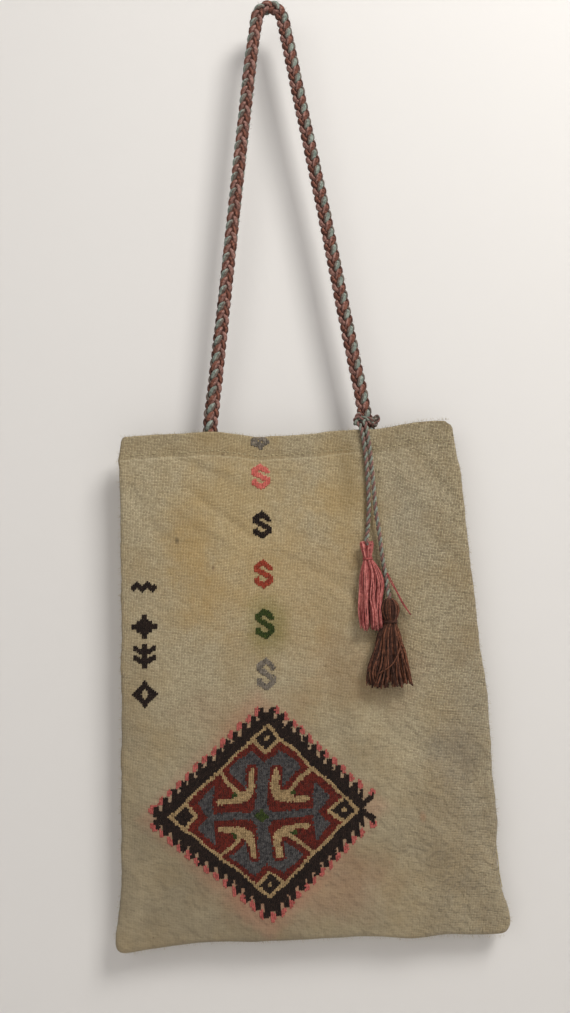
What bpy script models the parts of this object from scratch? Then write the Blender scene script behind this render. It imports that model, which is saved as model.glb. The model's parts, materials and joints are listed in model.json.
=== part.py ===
"""Kilim shoulder bag: an undyed handspun cloth bag with stitched motifs, a braided strap and two tassels.

Metres, +Z up. The bag hangs as it does in use. The origin is the inside top of the strap's loop, where
it rests on a hook or a shoulder, the front faces -Y and +X is to the right.
"""

import math

import bmesh
import bpy
from mathutils import Matrix, Vector

# Cloth
CLOTH_THICKNESS = 0.0020
GAP = 0.0003                      # between pieces that touch

# Bag body
STRAP_DROP = 0.4525               # hanging point down to the mouth's rim
BAG_HEIGHT = 0.4745
MOUTH_WIDTH = 0.3315
BASE_WIDTH = 0.3550
BAG_DEPTH = 0.0240
BAG_CENTRE_X = -0.0055
EDGE_ROUNDING = 0.0050            # the bag's side and bottom edges, seen in section
CORNER_ROUNDING = 0.0110          # its corners, seen from the front
SIDE_TAPER = 0.0550               # how far in from a side the back is still filling out
BASE_TAPER = 0.0800
BASE_EAR = 0.0060                 # how far the right bottom corner stands out
RIGHT_BELLY = 0.0036              # how far the right side bows out half way down
RIGHT_WAIST = 0.0024              # how far it draws in again above the base
RIM_SAG = 0.0080                  # the rim's dip between the strap's ends
RIM_SAG_RUN = 0.0550              # length over which it dips, from the left strap end
RIM_RISE = 0.0056                 # how far it comes up again right of the right strap end
RIM_RISE_RUN = 0.0600
BASE_SLANT = 0.0060               # how much lower the right end of the base hangs
BASE_CORNER_DROP = 0.0030         # and its left corner
HEM_DEPTH = 0.0220
HEM_SLIT = 0.0004                 # between the two layers of the turned-in hem

# Soft fold below the right strap end
FOLD_OFFSET = 0.0970              # right of the bag's middle
FOLD_WIDTH = 0.0120
FOLD_DEPTH = 0.0024
FOLD_LENGTH = 0.2600
RIGHT_FALL = 0.0040               # how far the front leans back at its right edge

# Sewing threads
HEM_THREAD_RADIUS = 0.0004
HEM_STITCH_DROP = 0.0195          # below the rim
SEAM_THREAD_RADIUS = 0.0005
SEAM_THREAD_PITCH = 0.0120
SEAM_THREAD_SWING = 0.0011

# Strap
STRAP_RADIUS = 0.0058
HANG_RADIUS = 0.0080              # of the round bar that the loop is shaped to
STRAP_SPREAD = 0.1560             # between the strap's ends at the rim
STRAP_CENTRE_X = -0.0045
STRAP_TUCK = 0.0380               # length inside the mouth
LEFT_BOW = (0.0010, 0.0006, 0.0)          # sideways bow of the left leg at its quarters
RIGHT_BOW = (0.0004, 0.0012, 0.0006)
TACK_RADIUS = 0.0006
TACK_PITCH = 0.0048
TACK_ROWS = 3
TACK_DROP = 0.0062                # first tack row below the rim

# Knot and tails
KNOT_RISE = 0.0100                # above the rim
KNOT_RING_RADIUS = 0.0093
KNOT_YARN_RADIUS = 0.0027
KNOT_TILT = 8.0                   # degrees, left side up
TAIL_RADIUS = 0.00225
TAIL_SPACING = 0.0050
TAIL_SHIFT = 0.0047                # left of the knot's middle
PINK_TAIL_LENGTH = 0.1080         # rim to tassel head
BROWN_TAIL_LENGTH = 0.1610
# How each tail hangs: share of its length below the rim, and place left (-) or right of the strap
PINK_SWAY = [(0.0, -0.0078), (0.27, -0.0051), (0.63, -0.0055), (0.88, -0.0085)]
BROWN_SWAY = [(0.0, -0.0027), (0.18, -0.0003), (0.48, 0.0011), (0.59, 0.0031), (0.76, 0.0050), (0.93, 0.0080)]

# Tassels
PINK_TASSEL_SHIFT = 0.0092         # its middle left of the strap
PINK_TASSEL_LENGTH = 0.0860
PINK_TASSEL_HEAD = (0.0062, 0.0060, 0.0058)
PINK_NECK_RADIUS = 0.0036
PINK_SKIRT_WIDTH = 0.0168
PINK_SKIRT_DEPTH = 0.0105
BROWN_TASSEL_LENGTH = 0.0850
BROWN_TASSEL_HEAD = (0.0090, 0.0078, 0.0112)
BROWN_NECK_RADIUS = 0.0056
BROWN_SKIRT_WIDTH = 0.0400
BROWN_SKIRT_DEPTH = 0.0150
BROWN_TASSEL_LEAN = -0.0060       # its foot hangs left of its head
BINDING_RADIUS = 0.0009
FLUTES = 11
FLUTE_DEPTH = 0.13                # share of the skirt's radius

# Embroidery
STITCH_RISE = 0.0007              # thickness of the stitched motifs
THREAD_X = 0.001635               # one thread of the cloth, across
THREAD_Z = 0.001471               # and down
MOTIF_TILT = 1.5                  # degrees, the cloth's grain against the plumb line
MOTIF_GAP = 0.00015               # half of the clear line between two colours

# Hooks
HOOK_COLUMN_X = -0.0330
HOOK_FIRST_DROP = 0.0494          # top of the rim to the middle of the first whole hook
HOOK_PITCH = 0.0469
HOOK_WIDTH = 0.0190
HOOK_HEIGHT = 0.0265
HOOK_GROWTH = 0.00125             # each is taller than the one above
HOOK_STROKE = 0.0042
HOOK_SPINE = [(0.80, 0.30), (0.72, 0.46), (0.0, 0.86), (-0.76, 0.46),
              (0.76, -0.46), (0.06, -0.86), (-0.72, -0.46), (-0.80, -0.26)]
RIM_HOOK_DEPTH = 0.0103           # what shows of the hook that the hem has swallowed
RIM_HOOK = [(-0.98, 0.0), (-0.42, -0.08), (0.0, -0.58), (0.42, -0.08), (0.98, 0.0), (0.72, -0.58),
            (0.0, -1.16), (-0.72, -0.58)]

# Small marks on the left
MARK_COLUMN_X = -0.1472
MARK_WIDTH = 0.0250
MARK_HEIGHTS = (0.0088, 0.0225, 0.0215, 0.0240)
MARK_DROPS = (0.1490, 0.1865, 0.2140, 0.2490)     # rim to each mark's middle
MARK_STROKE = 0.0038
WATER_SPINE = [(-0.9, -1.0), (-0.5, 1.0), (-0.1, -1.0), (0.3, 1.0), (0.7, -1.0), (0.95, 0.2)]
BRANCH_SIDE = [(0.19, 1.0), (0.19, 0.55), (0.86, 0.95), (0.86, 0.55), (0.19, 0.1), (0.19, -0.2), (0.86, 0.15),
               (0.86, -0.25), (0.19, -0.7), (0.19, -1.0)]

# Medallion, in threads from its middle
MEDALLION_X = -0.0497
MEDALLION_RISE = 0.1113           # above the base
MEDALLION_BEND = (0.0043, 0.0024)  # how far the weaving drifted at the top and bottom corners
MEDALLION_LEAN = 0.016            # rise of its right side
CREAM_OUTER = 54.4
CREAM_INNER = 51.2
DARK_BASE = 62.0
TEETH = 13
TOOTH_RISE = 2.8
PINK_RISE = 8.0
PINK_BRIDGE = 1.3
PINK_CORNER = 2.6
CORNER_CENTRE = 45.0
CORNER_DARK = 6.2
CORNER_CREAM = 9.2
CORNER_DOT = 1.3
GREEN_SIZE = 4.6
STEM_HALF = 0.95
STEM_ROOT = CREAM_INNER / 2
# The forked stem's hooks in the upper right quarter, between its two sides
FORK = [(12.9, 14.2), (9.4, 15.6), (8.1, 20.0), (8.2, 27.0), (5.8, 27.8), (4.6, 20.0), (4.5, 12.5),
        (6.2, 8.4), (9.2, 6.8), (25.8, 6.8), (26.3, 10.0), (16.4, 10.6), (14.4, 12.8)]
# The blue-grey ground in the same quarter, from the upper arm round to the right arm
BLUE_TOP = 31.0
BLUE_QUARTER = [(8.0, 38.4), (21.0, 26.8), (10.3, 16.3), (10.3, 28.4), (8.7, 30.0), (5.6, 30.0),
                (3.4, 27.8), (3.4, 6.6), (6.6, 2.3), (28.2, 2.3), (28.2, 18.4), (37.4, 8.2)]

# Derived sizes
FRONT_Y = -BAG_DEPTH / 2
EDGE_Y = FRONT_Y + EDGE_ROUNDING
HEM_RADIUS = CLOTH_THICKNESS + HEM_SLIT / 2
RIM_Z = -STRAP_DROP
BASE_Z = RIM_Z - BAG_HEIGHT
HEM_INNER_Y = FRONT_Y + 2 * CLOTH_THICKNESS + HEM_SLIT
STRAP_INSIDE_Y = HEM_INNER_Y + 2 * GAP + STRAP_RADIUS
STRAP_LEFT_X = STRAP_CENTRE_X - STRAP_SPREAD / 2
STRAP_RIGHT_X = STRAP_CENTRE_X + STRAP_SPREAD / 2
TAIL_Y = FRONT_Y - 2 * GAP - 2 * HEM_THREAD_RADIUS - TAIL_RADIUS
PLATE_Y = FRONT_Y - GAP - STITCH_RISE / 2

# Colours, linear
BEIGE = (0.36, 0.29, 0.18)
THREAD_BEIGE = (0.45, 0.38, 0.25)
STRAP_BROWN = (0.17, 0.075, 0.05)
TURQUOISE = (0.21, 0.31, 0.26)
PINK = (0.50, 0.13, 0.12)
TASSEL_PINK = (0.46, 0.14, 0.13)
TASSEL_BROWN = (0.14, 0.055, 0.033)
DARK_BROWN = (0.026, 0.017, 0.012)
RUST = (0.30, 0.045, 0.028)
RED = (0.19, 0.022, 0.016)
GREEN = (0.030, 0.075, 0.018)
GREY_MAUVE = (0.16, 0.13, 0.13)
BLUE_GREY = (0.085, 0.085, 0.10)
CREAM = (0.52, 0.42, 0.25)


def smooth(value):
    """Blend from 0 to 1, level at both ends."""
    t = min(max(value, 0.0), 1.0)
    return t * t * (3.0 - 2.0 * t)


def clear_scene():
    """Remove every object of the open scene."""
    for item in list(bpy.data.objects):
        bpy.data.objects.remove(item, do_unlink=True)


def make_material(name, colour, roughness=0.9):
    """Return a matt yarn or cloth material."""
    material = bpy.data.materials.new(name)
    material.use_nodes = True
    shader = material.node_tree.nodes["Principled BSDF"]
    shader.inputs["Base Color"].default_value = (*colour, 1.0)
    shader.inputs["Roughness"].default_value = roughness
    shader.inputs["Metallic"].default_value = 0.0
    material.diffuse_color = (*colour, 1.0)
    return material


def add_object(name, data, material, collection):
    """Link new data as a named object with its material."""
    item = bpy.data.objects.new(name, data)
    item.data.materials.append(material)
    collection.objects.link(item)
    return item


def rim_height(x):
    """Height of the mouth's rim at x: high beside the left strap end, dipping between the two ends."""
    dip = smooth((x - STRAP_LEFT_X) / RIM_SAG_RUN)
    rise = smooth((x - STRAP_RIGHT_X) / RIM_RISE_RUN)
    return RIM_Z - RIM_SAG * dip + RIM_RISE * rise


def base_height(x):
    """Height of the folded base at x."""
    across = (x - BAG_CENTRE_X) / BASE_WIDTH
    right = smooth((across - 0.10) / 0.20)
    left = smooth((-across - 0.36) / 0.15)
    return BASE_Z - BASE_SLANT * right - BASE_CORNER_DROP * left


def corner_pull(distance):
    """How far an edge draws in at this distance from a corner, to round it."""
    if distance >= CORNER_ROUNDING:
        return 0.0
    return CORNER_ROUNDING - math.sqrt(CORNER_ROUNDING**2 - (CORNER_ROUNDING - distance) ** 2)


def side_edges(v):
    """X of the left and right edges at v, which runs from 0 at the rim to 1 at the base."""
    half = (MOUTH_WIDTH + (BASE_WIDTH - MOUTH_WIDTH) * v) / 2
    pull = 0.55 * (corner_pull(v * BAG_HEIGHT) + corner_pull((1.0 - v) * BAG_HEIGHT))
    belly = RIGHT_BELLY * math.exp(-(((v - 0.52) / 0.14) ** 2))
    ear = BASE_EAR * math.exp(-(((v - 0.975) / 0.045) ** 2))
    return BAG_CENTRE_X - half + pull, BAG_CENTRE_X + half - pull + belly + ear - RIGHT_WAIST * v


def round_edge(distance, radius):
    """Share of the half thickness at this distance in from an edge that is rounded in section."""
    if distance >= radius:
        return 1.0
    return math.sqrt(max(0.0, 1.0 - (1.0 - distance / radius) ** 2))


def front_crease(x, v):
    """Depth of the soft fold in the front, which fades out downwards."""
    fold_x = BAG_CENTRE_X + FOLD_OFFSET
    fade = 1.0 - smooth(v * BAG_HEIGHT / FOLD_LENGTH)
    start = smooth((x - fold_x + 1.6 * FOLD_WIDTH) / (0.6 * FOLD_WIDTH))
    return FOLD_DEPTH * math.exp(-(((x - fold_x) / FOLD_WIDTH) ** 2)) * fade * start


def right_fall(x, v):
    """How far the bag leans back at x, right of its fold."""
    start = BAG_CENTRE_X + FOLD_OFFSET - 1.6 * FOLD_WIDTH
    return RIGHT_FALL * smooth((x - start) / (side_edges(v)[1] - start))


def wall_point(x, v, inset, front, lift=0.0):
    """A point of the cloth at x and v, this far in from its outer surface, on the front or the back."""
    left, right = side_edges(v)
    radius = EDGE_ROUNDING - inset
    low = rim_height(x) - HEM_RADIUS
    high = base_height(x) + inset
    z = low + (high - low) * v
    from_side = max(0.0, min(x - left - inset, right - inset - x))
    from_base = max(0.0, z - high)
    share = round_edge(from_side, radius) * round_edge(from_base, radius)
    fall = right_fall(x, v)
    if front:
        y = EDGE_Y + fall - radius * share + front_crease(x, v) * share
    else:
        fill = smooth(from_side / SIDE_TAPER) * smooth(from_base / BASE_TAPER)
        y = EDGE_Y + fall + radius * share + (BAG_DEPTH - 2 * EDGE_ROUNDING - fall) * fill
    return Vector((x, y, z + lift))


def width_stations(v, inset):
    """X of the cloth's points across the bag, close together at the edges and over the fold."""
    left, right = side_edges(v)
    radius = EDGE_ROUNDING - inset
    left += inset
    right -= inset
    turn = [radius * (1.0 - math.cos(math.radians(angle))) for angle in (0, 30, 60, 90)]
    shares = [0.10, 0.24, 0.38, 0.52, 0.64, 0.685, 0.72, 0.75, 0.78, 0.81, 0.845, 0.88, 0.94]
    middle = [left + radius + share * (right - left - 2 * radius) for share in shares]
    return [left + step for step in turn] + middle + [right - step for step in reversed(turn)]


def cloth_ring(v, inset, lift=0.0):
    """One closed loop of points round the bag, front from left to right and back again behind."""
    stations = width_stations(v, inset)
    front = [wall_point(x, v, inset, True, lift) for x in stations]
    back = [wall_point(x, v, inset, False, lift) for x in stations[1:-1]]
    return front + back[::-1]


def cloth_rings():
    """All the loops of the cloth's middle surface, from the hem's raw edge over the rim to the base."""
    middle = CLOTH_THICKNESS / 2
    turn = HEM_RADIUS - middle
    hem_v = (HEM_DEPTH - HEM_RADIUS) / BAG_HEIGHT
    rings = [cloth_ring(hem_v, middle + 2 * turn), cloth_ring(0.0, middle + 2 * turn)]
    for angle in (45, 90, 135):
        across = turn * (1.0 + math.cos(math.radians(angle)))
        rings.append(cloth_ring(0.0, middle + across, turn * math.sin(math.radians(angle))))
    stitch_v = (HEM_STITCH_DROP - HEM_RADIUS) / BAG_HEIGHT
    walls = [0.0, 0.02, stitch_v, 0.08, 0.16, 0.26, 0.38, 0.50, 0.62, 0.74, 0.82, 0.88, 0.925, 0.955]
    radius = EDGE_ROUNDING - middle
    low = 1.0 - radius / BAG_HEIGHT
    base = [low, 1.0 - radius * 0.5 / BAG_HEIGHT, 1.0 - radius * 0.134 / BAG_HEIGHT, 1.0]
    rings += [cloth_ring(v, middle) for v in walls + base]
    return rings


def place(loop, points):
    """Put each vertex of a loop on its point."""
    for vert, point in zip(loop, points):
        vert.co = point
    return loop


def extruded(mesh, loop):
    """Extrude a closed loop of vertices, and return the new loop in the same order."""
    edges = [mesh.edges.get((loop[i - 1], loop[i])) for i in range(len(loop))]
    made = bmesh.ops.extrude_edge_only(mesh, edges=edges)["geom"]
    fresh = {vert for vert in made if isinstance(vert, bmesh.types.BMVert)}
    return [next(edge.other_vert(vert) for edge in vert.link_edges if edge.other_vert(vert) in fresh)
            for vert in loop]


def make_bag_cloth(material, collection):
    """The bag's one cloth: an open sack with its hem turned in, given its thickness."""
    rings = cloth_rings()
    mesh = bpy.data.meshes.new("bag_cloth")
    shell = bmesh.new()
    bmesh.ops.create_circle(shell, segments=len(rings[0]), radius=1.0)
    loop = place(list(shell.verts), rings[0])
    for ring in rings[1:]:
        loop = place(extruded(shell, loop), ring)
    bmesh.ops.remove_doubles(shell, verts=shell.verts, dist=0.00001)
    bmesh.ops.recalc_face_normals(shell, faces=shell.faces)
    shell.to_mesh(mesh)
    shell.free()
    mesh.shade_smooth()
    cloth = add_object("bag_cloth", mesh, material, collection)
    thicken = cloth.modifiers.new("thickness", "SOLIDIFY")
    thicken.thickness = CLOTH_THICKNESS
    thicken.offset = 0.0
    thicken.use_even_offset = True
    return cloth


def make_wire(name, points, radius, material, collection, sides=1):
    """A thread or cord: a round tube through the points."""
    curve = bpy.data.curves.new(name, "CURVE")
    curve.dimensions = "3D"
    curve.bevel_depth = radius
    curve.bevel_resolution = sides
    curve.use_fill_caps = True
    curve.resolution_u = 1
    spline = curve.splines.new("POLY")
    spline.points.add(len(points) - 1)
    for control, point in zip(spline.points, points):
        control.co = (*point, 1.0)
    return add_object(name, curve, material, collection)


def smooth_route(route, steps):
    """Points along a smooth curve through the route's own points, this many to each stretch."""
    ends = [2 * route[0] - route[1], *route, 2 * route[-1] - route[-2]]
    points = []
    for a, b, c, d in zip(ends, ends[1:], ends[2:], ends[3:]):
        for step in range(steps):
            t = step / steps
            points.append(0.5 * (2 * b + (c - a) * t + (2 * a - 5 * b + 4 * c - d) * t**2
                                 + (3 * b - a - 3 * c + d) * t**3))
    return points + [route[-1]]


def make_hem_thread(name, front, material, collection):
    """The hem's sewing thread, laid on the outside of the cloth along the turned-in hem."""
    v = (HEM_STITCH_DROP - HEM_RADIUS) / BAG_HEIGHT
    stations = width_stations(v, CLOTH_THICKNESS / 2)[3:-3]
    points = []
    for x in stations:
        point = wall_point(x, v, CLOTH_THICKNESS / 2, front)
        stand = CLOTH_THICKNESS / 2 + GAP + HEM_THREAD_RADIUS
        point.y += -stand if front else stand * 1.05
        points.append(point)
    return make_wire(name, points, HEM_THREAD_RADIUS, material, collection)


def make_seam_thread(name, side, material, collection):
    """The overcast thread inside a side seam: side is -1 on the left and 1 on the right."""
    stand = CLOTH_THICKNESS + 1.3 * SEAM_THREAD_RADIUS + 2 * GAP
    top = (HEM_DEPTH + SEAM_THREAD_PITCH / 2) / BAG_HEIGHT
    bottom = 1.0 - (BASE_TAPER / 2) / BAG_HEIGHT
    count = round((bottom - top) * BAG_HEIGHT / SEAM_THREAD_PITCH)
    points = []
    for step in range(count + 1):
        v = top + (bottom - top) * step / count
        edge = side_edges(v)[0 if side < 0 else 1]
        x = edge - side * stand
        low = rim_height(x) - HEM_RADIUS
        z = low + (base_height(x) - low) * v
        swing = SEAM_THREAD_SWING * (1 if step % 2 else -1)
        points.append(Vector((x, EDGE_Y + right_fall(edge, v) + swing, z)))
    return make_wire(name, points, SEAM_THREAD_RADIUS, material, collection)


def strap_leg(side):
    """Route of one strap leg, from beside the hanging point to its end inside the mouth."""
    centre = HANG_RADIUS + STRAP_RADIUS
    foot_x = STRAP_LEFT_X if side < 0 else STRAP_RIGHT_X
    bow = LEFT_BOW if side < 0 else RIGHT_BOW
    head = Vector((side * centre, 0.0, -HANG_RADIUS))
    foot = Vector((foot_x - side * 0.0010, STRAP_INSIDE_Y, rim_height(foot_x) + KNOT_RISE))
    route = []
    for share in (0.10, 0.25, 0.50, 0.75, 0.92):
        point = head.lerp(foot, share)
        quarter = min(range(3), key=lambda index, share=share: abs(0.25 * (index + 1) - share))
        point.x += side * bow[quarter]
        point.y = STRAP_INSIDE_Y * smooth(share)
        route.append(point)
    route.append(foot)
    for share in (0.1, 0.55, 1.0):
        drop = KNOT_RISE + STRAP_TUCK * share
        route.append(Vector((foot_x, STRAP_INSIDE_Y, foot.z - drop)))
    return route


def strap_route():
    """The strap's whole centre line: the left leg up, over the hanging point, the right leg down."""
    centre = HANG_RADIUS + STRAP_RADIUS
    over = []
    for angle in (180, 150, 120, 90, 60, 30, 0):
        turn = math.radians(angle)
        over.append(Vector((centre * math.cos(turn), 0.0, -HANG_RADIUS + centre * math.sin(turn))))
    left = smooth_route([over[0], *strap_leg(-1)], 3)
    right = smooth_route([over[-1], *strap_leg(1)], 3)
    return left[::-1] + over[1:-1] + right


def make_strap_tack(name, x, material, collection):
    """Stitches that cross the strap's end inside the mouth and bite into the turned-in hem."""
    reach = STRAP_RADIUS + 2 * GAP + TACK_RADIUS
    bite = HEM_INNER_Y + GAP + TACK_RADIUS - STRAP_INSIDE_Y
    start = math.degrees(math.asin(bite / reach))
    angles = [start + (180.0 - 2 * start) * step / 8 for step in range(9)]
    points = []
    for row in range(TACK_ROWS):
        z = rim_height(x) - TACK_DROP - row * TACK_PITCH
        for angle in angles if row % 2 == 0 else angles[::-1]:
            turn = math.radians(angle)
            point = Vector((x + reach * math.cos(turn), STRAP_INSIDE_Y + reach * math.sin(turn), z))
            lean = front_crease(point.x, 0.0) + right_fall(point.x, 0.0)
            point.y = max(point.y, HEM_INNER_Y + lean + GAP + TACK_RADIUS)
            points.append(point)
    return make_wire(name, points, TACK_RADIUS, material, collection)


def knot_centre():
    """Middle of the hitch round the foot of the right leg."""
    foot = strap_leg(1)[-4]
    return Vector((foot.x, foot.y, foot.z))


def make_tail_knot(material, collection):
    """The hitch of yarn round the strap, above the rim."""
    bpy.ops.mesh.primitive_torus_add(
        major_radius=KNOT_RING_RADIUS, minor_radius=KNOT_YARN_RADIUS, major_segments=22, minor_segments=8,
        location=knot_centre(), rotation=(0.0, math.radians(KNOT_TILT), 0.0))
    knot = bpy.context.object
    knot.name = "tail_knot"
    knot.data.materials.append(material)
    knot.data.shade_smooth()
    for owner in list(knot.users_collection):
        owner.objects.unlink(knot)
    collection.objects.link(knot)
    return knot


def tail_route(side, length, sway, end_x, end_y):
    """Route of a tail: out of the knot, over the rim and down the front to its tassel's head."""
    centre = knot_centre()
    offset = side * TAIL_SPACING / 2 - TAIL_SHIFT
    out = math.sqrt(KNOT_RING_RADIUS**2 - offset**2)
    tilt = math.tan(math.radians(KNOT_TILT))
    ring = Vector((centre.x + offset, centre.y - out, centre.z - offset * tilt))
    flat_out = Vector((offset, -out, 0.0)).normalized()
    away = flat_out * 0.72 + Vector((0.0, 0.0, -0.694))
    start = ring + away * (KNOT_YARN_RADIUS + 3 * GAP)
    rim = rim_height(start.x)
    route = [start, start + away * 0.0022]
    for share, shift in sway:
        route.append(Vector((STRAP_RIGHT_X + shift, TAIL_Y, rim - share * length)))
    route.append(Vector((end_x, end_y, rim - length + 2 * TAIL_RADIUS)))
    route.append(Vector((end_x, end_y, rim - length)))
    return route


def tassel_stations(length, head, neck, width, depth, lean):
    """Height, side and depth radii and sideways shift of a tassel's rings, from its top down."""
    head_x, head_y, head_z = head
    rows = []
    for angle in (18, 45, 72, 95, 125):
        turn = math.radians(angle)
        drop = head_z * (1.0 - math.cos(turn))
        rows.append((drop, head_x * math.sin(turn), head_y * math.sin(turn), 0.0))
    neck_top = 2 * head_z
    neck_foot = neck_top + 3.2 * BINDING_RADIUS
    rows.append((neck_top, neck, neck, 0.0))
    rows.append((neck_foot, neck, neck, 0.0))
    for share in (0.22, 0.5, 1.0):
        spread = math.sin(0.5 * math.pi * min(1.0, share * 1.15)) if width < 2.5 * 2 * neck else share**0.85
        rows.append((neck_foot + (length - neck_foot) * share, neck + (width / 2 - neck) * spread,
                     neck + (depth / 2 - neck) * spread, lean * share))
    return rows


def make_tassel(name, top, stations, material, collection):
    """A tied bundle of yarns: a round head, a neck and a fluted skirt in one closed solid."""
    count = 3 * FLUTES
    mesh = bpy.data.meshes.new(name)
    bundle = bmesh.new()
    bmesh.ops.create_circle(bundle, segments=count, radius=1.0, cap_ends=True)
    loop = sorted(bundle.verts, key=lambda item: math.atan2(item.co.y, item.co.x))
    foot_drop = stations[-1][0]
    for index, (drop, radius_x, radius_y, shift) in enumerate(stations):
        if index:
            loop = extruded(bundle, loop)
        for step, vert in enumerate(loop):
            turn = 2.0 * math.pi * step / count
            flute = 1.0 - FLUTE_DEPTH * (step % 3 == 0) * smooth(2.0 * drop / foot_drop - 0.6)
            vert.co = top + Vector((shift + radius_x * flute * math.cos(turn),
                                    radius_y * flute * math.sin(turn), -drop))
    bmesh.ops.contextual_create(bundle, geom=loop)
    bmesh.ops.recalc_face_normals(bundle, faces=bundle.faces)
    bundle.to_mesh(mesh)
    bundle.free()
    return add_object(name, mesh, material, collection)


def make_binding(name, top, head, neck, material, collection):
    """The yarn tied round a tassel's neck."""
    ring = neck + GAP + BINDING_RADIUS
    drop = 2 * head[2] + 1.6 * BINDING_RADIUS
    bpy.ops.mesh.primitive_torus_add(
        major_radius=ring, minor_radius=BINDING_RADIUS, major_segments=18, minor_segments=6,
        location=top - Vector((0.0, 0.0, drop)))
    binding = bpy.context.object
    binding.name = name
    binding.data.materials.append(material)
    binding.data.shade_smooth()
    for owner in list(binding.users_collection):
        owner.objects.unlink(binding)
    collection.objects.link(binding)
    return binding


def offset_loop(points, distance):
    """Move each side of a closed outline this far to its left, and join the sides again."""
    moved = []
    count = len(points)
    for index, point in enumerate(points):
        before = (point - points[index - 1]).normalized()
        after = (points[(index + 1) % count] - point).normalized()
        normal = Vector((-before.y, before.x)) + Vector((-after.y, after.x))
        normal.normalize()
        reach = max(0.35, normal.dot(Vector((-before.y, before.x))))
        moved.append(point + normal * (distance / reach))
    return moved


def ribbon(spine, width):
    """Closed outline of a stroke of even width along an open line."""
    sides = ([], [])
    for index, point in enumerate(spine):
        before = (point - spine[max(index - 1, 0)]).normalized()
        after = (spine[min(index + 1, len(spine) - 1)] - point).normalized()
        along = before + after
        along.normalize()
        normal = Vector((-along.y, along.x))
        step = before if before.length > 0.5 else after
        reach = max(0.5, normal.dot(Vector((-step.y, step.x))))
        sides[0].append(point + normal * (width / 2 / reach))
        sides[1].append(point - normal * (width / 2 / reach))
    return sides[0] + sides[1][::-1]


def four_quarters(quarter, top, right):
    """Close an outline from its upper right quarter: top and right are where it meets the axes."""
    upper = [Vector((0.0, top)), *quarter, Vector((right, 0.0))]
    lower = [Vector((point.x, -point.y)) for point in quarter][::-1]
    half = upper + lower + [Vector((0.0, -top))]
    other = [Vector((-point.x, point.y)) for point in half[1:-1]][::-1]
    return half + other


def diamond(size, centre=(0.0, 0.0)):
    """A diamond's outline, in threads, clockwise from its top."""
    middle = Vector(centre)
    return [middle + Vector(step) * size for step in ((0, 1), (1, 0), (0, -1), (-1, 0))]


def make_plate(name, outline, holes, middle, tilt, material, collection):
    """A stitched area: a thin plate just off the cloth, from an outline and the outlines of its holes."""
    curve = bpy.data.curves.new(name, "CURVE")
    curve.dimensions = "2D"
    curve.fill_mode = "BOTH"
    curve.extrude = STITCH_RISE / 2
    for points in [outline, *holes]:
        spline = curve.splines.new("POLY")
        spline.points.add(len(points) - 1)
        for control, point in zip(spline.points, points):
            control.co = (point.x, point.y, 0.0, 1.0)
        spline.use_cyclic_u = True
    plate = add_object(name, curve, material, collection)
    upright = Matrix.Rotation(math.radians(90.0), 4, "X") @ Matrix.Rotation(math.radians(-tilt), 4, "Z")
    plate.matrix_world = Matrix.Translation((middle[0], PLATE_Y, middle[1])) @ upright
    return plate


def sawtooth(rise):
    """Upper right quarter of the border's teeth, from the top round to the right."""
    pitch = DARK_BASE / TEETH
    quarter = []
    for tooth in range(TEETH):
        valley = Vector((tooth * pitch, DARK_BASE - tooth * pitch))
        if tooth:
            quarter.append(valley)
        quarter.append(Vector((valley.x + pitch / 2, valley.y + rise)))
    return quarter


def pink_edge_quarter():
    """Upper right quarter of the pink stitches, each standing between two dark teeth."""
    pitch = DARK_BASE / TEETH
    quarter = []
    for tooth in range(TEETH):
        if tooth:
            quarter.append(Vector((tooth * pitch, DARK_BASE - tooth * pitch + PINK_RISE)))
        bridge = Vector((tooth * pitch + pitch / 2, DARK_BASE - tooth * pitch + TOOTH_RISE + PINK_BRIDGE))
        quarter.append(bridge + Vector((0.35, 0.0)))
    return quarter


def cream_quarter():
    """Upper right quarter of the cream frame's inner side: corner outline, side, forked stem, side."""
    top = CORNER_CENTRE - CORNER_CREAM
    half_step = (CREAM_INNER - top) / 2
    side_step = STEM_HALF / math.sqrt(2)
    stem = (STEM_ROOT - side_step, STEM_ROOT + side_step)
    upper = [Vector((half_step, top + half_step)), Vector(stem)]
    lower = [Vector(stem[::-1]), Vector((top + half_step, half_step))]
    return upper + [Vector(point) for point in FORK] + lower


def scaled(points):
    """Turn an outline in threads into metres, with the drift of the hand weaving."""
    worked = []
    for point in points:
        drift = abs(point.y) / CORNER_CENTRE
        across = point.x * THREAD_X
        rise = point.y * THREAD_Z + across * MEDALLION_LEAN
        worked.append(Vector((across + drift * MEDALLION_BEND[0], rise + drift * MEDALLION_BEND[1])))
    return worked


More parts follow.
